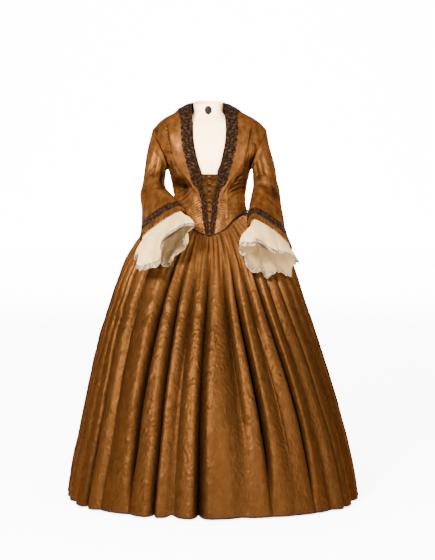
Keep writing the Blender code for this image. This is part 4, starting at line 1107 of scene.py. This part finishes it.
def sleeve_relief(side, turn, along):
    """How far the sleeve's folds and wrinkles stand out."""
    stretch = np.array([1, CREASE_SPAN, 1, CREASE_SPAN, 1, 1, 1])
    flat = np.stack(np.broadcast_arrays(turn, along * CREASE_SPAN), axis=-1)
    around, seed = np.radians(turn), 60 + SIDES[side]
    relief = crease_heights(flat, np.array(SLEEVE_CREASES[side] + HIDDEN_SLEEVE_CREASES) * stretch)
    relief = relief + 0.0018 * noise(np.cos(around) * 2.3, along * 7 + np.sin(around), seed)
    relief = relief - 0.0018 * crumple(around * 0.06, along * SLEEVE_LENGTH * 0.6, 0.026, seed + 2)
    return relief * ease(along / 0.06)


def build_sleeve(side):
    """A pagoda sleeve with its lace band and its frill."""
    seed = 70 + SIDES[side]
    turn, along = np.broadcast_arrays(turns(160), np.linspace(0, 1, 150)[:, None] ** 1.05)
    relief = sleeve_relief(side, turn, along)
    # Painted shade in the sleeve's creases.
    dark = np.clip(1.05 + np.minimum(relief + 0.001, 0) / 0.007, 0.25, 1.05)
    add_piece("sleeve_" + side, "silk", sleeve_point(side, turn, along, relief), True, SATIN, shade=dark)
    turn, along = np.broadcast_arrays(turns(300), np.linspace(*SLEEVE_LACE, 10)[:, None])
    puff = 0.0010 * noise(turn / 6, along * 40, seed) + 0.0016 + LACE_WALL
    grid = sleeve_point(side, turn, along, sleeve_relief(side, turn, along) + puff)
    add_piece("sleeve_lace_" + side, "net", grid, True, DARK_LACE)
    turn, along = np.broadcast_arrays(turns(720), np.linspace(*SLEEVE_FRILL, 10)[:, None])
    wave = np.sin(np.radians(turn) * FRILL_PLEATS + 2.2 * noise(turn / 9, along * 3, seed + 3))
    out = 0.0028 + 0.0020 * rise(along, 0.966, 0.05) * wave + 0.0008 * noise(turn / 5, along * 30, seed + 4)
    add_piece("sleeve_frill_" + side, "silk", sleeve_point(side, turn, along, out), True, SATIN)


def hem_loop(side, turn):
    """Points of an undersleeve's hem: a smooth closed curve through its table's rows."""
    rows = np.array(UNDERSLEEVE_HEMS[side], float)
    count = len(rows)
    index = np.searchsorted(rows[:, 0], turn, side="right") - 1
    end = np.where(index + 1 < count, rows[(index + 1) % count, 0], 360.0)
    part = ((turn - rows[index, 0]) / (end - rows[index, 0]))[..., None]
    near = [rows[(index + step) % count, 1:] for step in (-1, 0, 1, 2)]
    place = 0.5 * (2 * near[1] + (near[2] - near[0]) * part
                   + (2 * near[0] - 5 * near[1] + 4 * near[2] - near[3]) * part ** 2
                   + (3 * near[1] - near[0] - 3 * near[2] + near[3]) * part ** 3)
    place = place * np.array([SIDES[side], 1, 1])
    place[..., 2] -= HOLD_HEIGHT
    return place


def undersleeve_relief(turn, share, seed):
    """How far the flutes, waves and tucks of an undersleeve stand out at a share of its fall."""
    level = np.full_like(turn, share * 2)
    flute = np.sin(np.radians(turn) * FLUTES + 2.6 * noise(turn / 42, level * 0.5, seed + 6))
    wave = np.sin(np.radians(turn) * SMALL_WAVES + 2.4 * noise(turn / 13, level, seed))
    ruffle = FLUTE_DEPTH * ease(share / 0.75) * flute + 0.0026 * share ** 1.5 * wave
    soft = 0.0020 * noise(turn / 11, np.full_like(turn, share * 3), seed + 1)
    tuck = 0.0007 * (np.sin(share * 2 * math.pi * 9) > 0.4) * (0.35 < share < 0.9)
    return ruffle + soft + tuck + UNDERSLEEVE_BELLY * math.sin(math.pi * share)


def build_undersleeve(side):
    """A cream undersleeve: smooth inside the sleeve, in waves below it, with lace at its edge."""
    turn = turns(330)[0]
    grid = [sleeve_point(side, turn, np.full_like(turn, along), -UNDERSLEEVE_INSET)
            for along in np.linspace(*UNDERSLEEVE_TUCK, 6)]
    start, end = grid[-1], hem_loop(side, turn)
    swell = unit(start - sleeve_section(side, np.array(1.0))[0])
    for share in np.linspace(0, 1, 44)[1:]:
        relief = undersleeve_relief(turn, share, 80 + SIDES[side])
        grid.append(mix(start, end, share) + swell * relief[:, None])
    grid = np.stack(grid)
    cloth, lace = grid[:1 - LACE_ROWS], grid[-LACE_ROWS:]
    node = "undersleeve_" + side
    # The inner side gets the darker copy of the cream: painted shade.
    item = add_cloth(node + "_cotton", cloth, True, [CREAM, CREAM_INSIDE_PAINTED_SHADE], wall=COTTON_WALL)
    edge = add_cloth(node + "_lace", lace, True, [CREAM_LACE], wall=COTTON_WALL)
    declare(cloth, True, node)


# Trimming

def build_front_lace(side, sign):
    """The scalloped lace from a shoulder to the waist point."""
    height = np.linspace(LACE_BOTTOM, NECK_HEIGHT - 0.001, 420)[:, None]
    share = np.linspace(0, 1, 26)[None, :]
    length = NECK_HEIGHT - LACE_BOTTOM
    wave = np.abs(np.sin(np.pi * round(length / SCALLOP_PITCH) * (height - LACE_BOTTOM) / length))
    inner, outer = FRONT.read("lace_inner", height), FRONT.read("lace_outer", height)
    inner = np.maximum(inner - LACE_LAP * (1 - rise(height, 1.0, 0.03)), 0.0018)
    cut = SCALLOP_DEPTH * (1 - wave) * np.minimum((outer - inner) / 0.03, 1)
    last = np.minimum(angle_at(height, outer - cut), SIDE_ANGLE - SEAM_GAP)
    angle = mix(angle_at(height, inner), last, share)
    rows = np.broadcast_to(height, angle.shape)
    lift = LACE_RISE + 0.0030 * rise(rows, 1.27, 0.02)
    relief = 0.0010 * noise(share * (outer - inner) / 0.0045, rows / 0.0045, 90 + sign)
    grid = torso_point(sign * angle, rows, lift + relief)
    add_piece("lace_" + side, "net", grid, False, DARK_LACE)


def build_neck_lace():
    """The scalloped lace round the back of the neck."""
    angle = np.linspace(SIDE_ANGLE + SEAM_GAP, 3 * SIDE_ANGLE - SEAM_GAP, 260)[None, :]
    wave = np.abs(np.sin(np.radians(angle) * NECK_SCALLOPS))
    rows = NECK_HEIGHT - 0.001 - (0.026 + 0.004 * wave) * np.linspace(0, 1, 22)[:, None]
    angle = np.broadcast_to(angle, rows.shape)
    relief = 0.0008 * noise(angle / 2.4, rows / 0.0045, 93)
    grid = torso_point(angle, rows, NECK_LACE_RISE + relief)
    add_piece("lace_back_neck", "net", grid, False, DARK_LACE)


def add_hard_piece(node, kind, points, faces, finish):
    """A piece that is no sheet of cloth: the piping, a button or the brooch."""
    item = add_object(node + "_" + kind, points.reshape(-1, 3).tolist(), faces, finish)
    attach(item, "root")
    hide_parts(node)


def build_piping():
    """The covered cord round the waist seam."""
    angle, turn = turns(360).T, np.radians(turns(12))
    height = waist_height(angle) + PIPING_RADIUS * 1.5
    out = PIPING_RADIUS * (1 + np.cos(turn)) + OVERLAY_GAP + 0.0004
    grid = torso_point(angle + 0 * turn, height + PIPING_RADIUS * np.sin(turn), out)
    faces = grid_faces(*grid.shape[:2], closed=True, ring=True)[:, ::-1]
    add_hard_piece("waist_piping", "cord", grid, faces.tolist(), PIPING)


def collar_point(angle, share, out=0.0):
    """Points of the stand collar: angle from the centre front, share from its foot to its top."""
    turn = np.radians(angle)
    depth = np.where(np.cos(turn) > 0, COLLAR_FRONT, COLLAR_BACK)
    top = mix(COLLAR_TOP_BACK, COLLAR_TOP_FRONT, ease((1 + np.cos(turn)) / 2))
    return np.stack(np.broadcast_arrays(COLLAR_CENTRE + (COLLAR_HALF_WIDTH + out) * np.sin(turn),
                                        -(depth + out) * np.cos(turn),
                                        mix(COLLAR_FOOT, top, share) - HOLD_HEIGHT), axis=-1)


def build_chemisette_piece(node, bottom, turn_from, facing, inset, reach):
    """The chemisette's front or back, from under the bodice in to the foot of the collar."""
    top = COLLAR_FOOT - 0.0003
    height = np.linspace(bottom, top, 90)[:, None]
    share = np.linspace(-1, 1, 101)[None, :]
    across = share * reach(height)
    spread = 1 + rise(height, bottom, 0.20)
    pleat = PLEAT_DEPTH * bell(share, 0.16 * spread) * np.sin(share * 64 / spread)
    soft = 0.0010 * noise(share * 3 + 7, height / 0.06, 95)
    lift = pleat * (1 - rise(height, 1.10, 0.10)) + soft - inset
    body = torso_point(facing + across, height + 0 * across, lift)
    ring = collar_point(facing + 88 * share, 0.0 * height)
    ring[..., 2] = height - HOLD_HEIGHT + 0 * share
    grid = mix(body, ring, rise(height, turn_from, top - turn_from)[..., None])
    add_piece(node, "cotton", grid, False, FINE_CREAM)


def build_chemisette():
    """The chemisette's front and back under the bodice, and its stand collar."""
    build_chemisette_piece("chemisette_front", CHEMISETTE_BOTTOM, CHEMISETTE_TURN_IN, 0, CHEMISETTE_INSET,
                           lambda h: angle_at(h, FRONT.read("lace_inner", h) + CHEMISETTE_MARGIN))
    build_chemisette_piece("chemisette_back", CHEMISETTE_BACK_FOOT, CHEMISETTE_BACK_FOOT, 180,
                           CHEMISETTE_BACK_INSET, lambda h: np.full_like(h, CHEMISETTE_BACK_ANGLE))
    angle, share = np.broadcast_arrays(turns(200), np.linspace(0, 1, 16)[:, None])
    grid = collar_point(angle, share, 0.0004 * noise(angle / 14, share * 2, 97))
    add_piece("collar", "cotton", grid, True, FINE_CREAM, wall=COTTON_WALL)


def add_dome(node, kind, centre, outward, half_width, half_height, high, finish, sides=32):
    """A finely rounded disc with a flat back, for a button or the brooch."""
    outward = unit(np.array(outward, float))
    across = unit(np.cross((0.0, 0.0, 1.0), outward))
    up = np.cross(outward, across)
    size, level = np.array(DOME_RINGS).T[..., None, None]
    turn = np.radians(turns(sides)).T
    rings = (centre + across * np.cos(turn) * half_width * size + up * np.sin(turn) * half_height * size
             + outward * high * level)
    points = np.concatenate([[centre], rings.reshape(-1, 3), [centre + outward * high]])
    first = np.arange(sides)
    after = (first + 1) % sides
    last = len(points) - 1
    foot = np.stack([0 * first, 1 + after, 1 + first], axis=-1).tolist()
    cap = np.stack([last - sides + first, last - sides + after, 0 * first + last], axis=-1).tolist()
    sides_between = (grid_faces(len(DOME_RINGS), sides, True) + 1).tolist()
    add_hard_piece(node, kind, points, foot + sides_between + cap, finish)


def build_buttons():
    """Seven covered buttons on the centre front, and the oval brooch on the collar."""
    for number, height in enumerate(BUTTON_HEIGHTS, 1):
        slope = torso_point(0, height + BUTTON_RADIUS) - torso_point(0, height - BUTTON_RADIUS)
        outward = unit(np.array([0, -slope[2], slope[1]]))
        centre = torso_point(0, height) + outward * OVERLAY_GAP
        add_dome(f"button_{number}", "cloth", centre, outward, BUTTON_RADIUS, BUTTON_RADIUS, 0.0036, BUTTON)
    centre = collar_point(0, 0.12) + np.array([0, -0.0021, 0])
    add_dome("collar_brooch", "metal", centre, (0, -1, 0), *BROOCH_SIZE, DARK_METAL, 48)


# Studio

def add_light(name, place, target, size, power):
    """A soft rectangle of light aimed at a point."""
    light = bpy.data.lights.new(name, "AREA")
    light.energy = power
    light.shape = "RECTANGLE"
    light.size, light.size_y = size
    item = bpy.data.objects.new(name, light)
    bpy.context.scene.collection.objects.link(item)
    item.location = place
    item.rotation_mode = "QUATERNION"
    item.rotation_quaternion = (Vector(target) - Vector(place)).to_track_quat("-Z", "Y")


def build_stage():
    """A pale floor, soft light and the camera where the photographer stood."""
    finish = Finish("floor", (0.93, 0.93, 0.93), 0.9, 0.5)
    finish.set("Emission Color", (1.0, 1.0, 1.0, 1))
    finish.set("Emission Strength", 6.0)
    low, reach = -HOLD_HEIGHT, 30
    corners = [(-reach, -reach, low), (reach, -reach, low), (reach, reach, low), (-reach, reach, low)]
    floor = add_object("floor", corners, [(0, 1, 2, 3)], finish.material)
    corners = [(-16, 13, low), (16, 13, low), (16, 13, 9), (-16, 13, 9)]
    backdrop = add_object("backdrop", corners, [(0, 1, 2, 3)], finish.material)
    world = bpy.data.worlds.new("studio")
    bpy.context.scene.world = world
    world.use_nodes = True
    back = world.node_tree.nodes["Background"]
    back.inputs["Color"].default_value = (1.0, 1.0, 1.0, 1)
    back.inputs["Strength"].default_value = 0.08
    add_light("key", (-1.5, -3.9, 1.7), (0, 0, -0.2), (0.8, 1.0), 1250)
    add_light("fill", (2.2, -4.4, 0.9), (0, 0, -0.5), (0.8, 1.4), 330)
    add_light("floor_light", (0.0, 1.0, 6.0), (0, 0.5, -1.3), (9.0, 9.0), 1500)
    add_light("backdrop_light", (0.0, 7.0, 3.0), (0, 12.0, 0.5), (8.0, 2.0), 2200)
    camera = bpy.data.cameras.new("camera")
    item = bpy.data.objects.new("camera", camera)
    bpy.context.scene.collection.objects.link(item)
    across = AXIS_SHIFT_PX * CAMERA_DISTANCE / FOCAL_PX
    item.location = (across, -CAMERA_DISTANCE, CAMERA_HEIGHT - HOLD_HEIGHT)
    item.rotation_mode = "XYZ"
    item.rotation_euler = (math.radians(90 - CAMERA_PITCH), 0, 0)
    camera.sensor_fit = "VERTICAL"
    camera.sensor_height = SENSOR_HEIGHT
    camera.lens = SENSOR_HEIGHT * FOCAL_PX / PHOTO_HEIGHT_PX
    camera.clip_start, camera.clip_end = 0.1, 100
    bpy.context.scene.camera = item


build_bodice()
build_skirt()
for one_side in SIDES:
    build_sleeve(one_side)
    build_undersleeve(one_side)
for one_side, one_sign in SIDES.items():
    build_front_lace(one_side, one_sign)
build_neck_lace()
build_piping()
build_chemisette()
build_buttons()
build_stage()
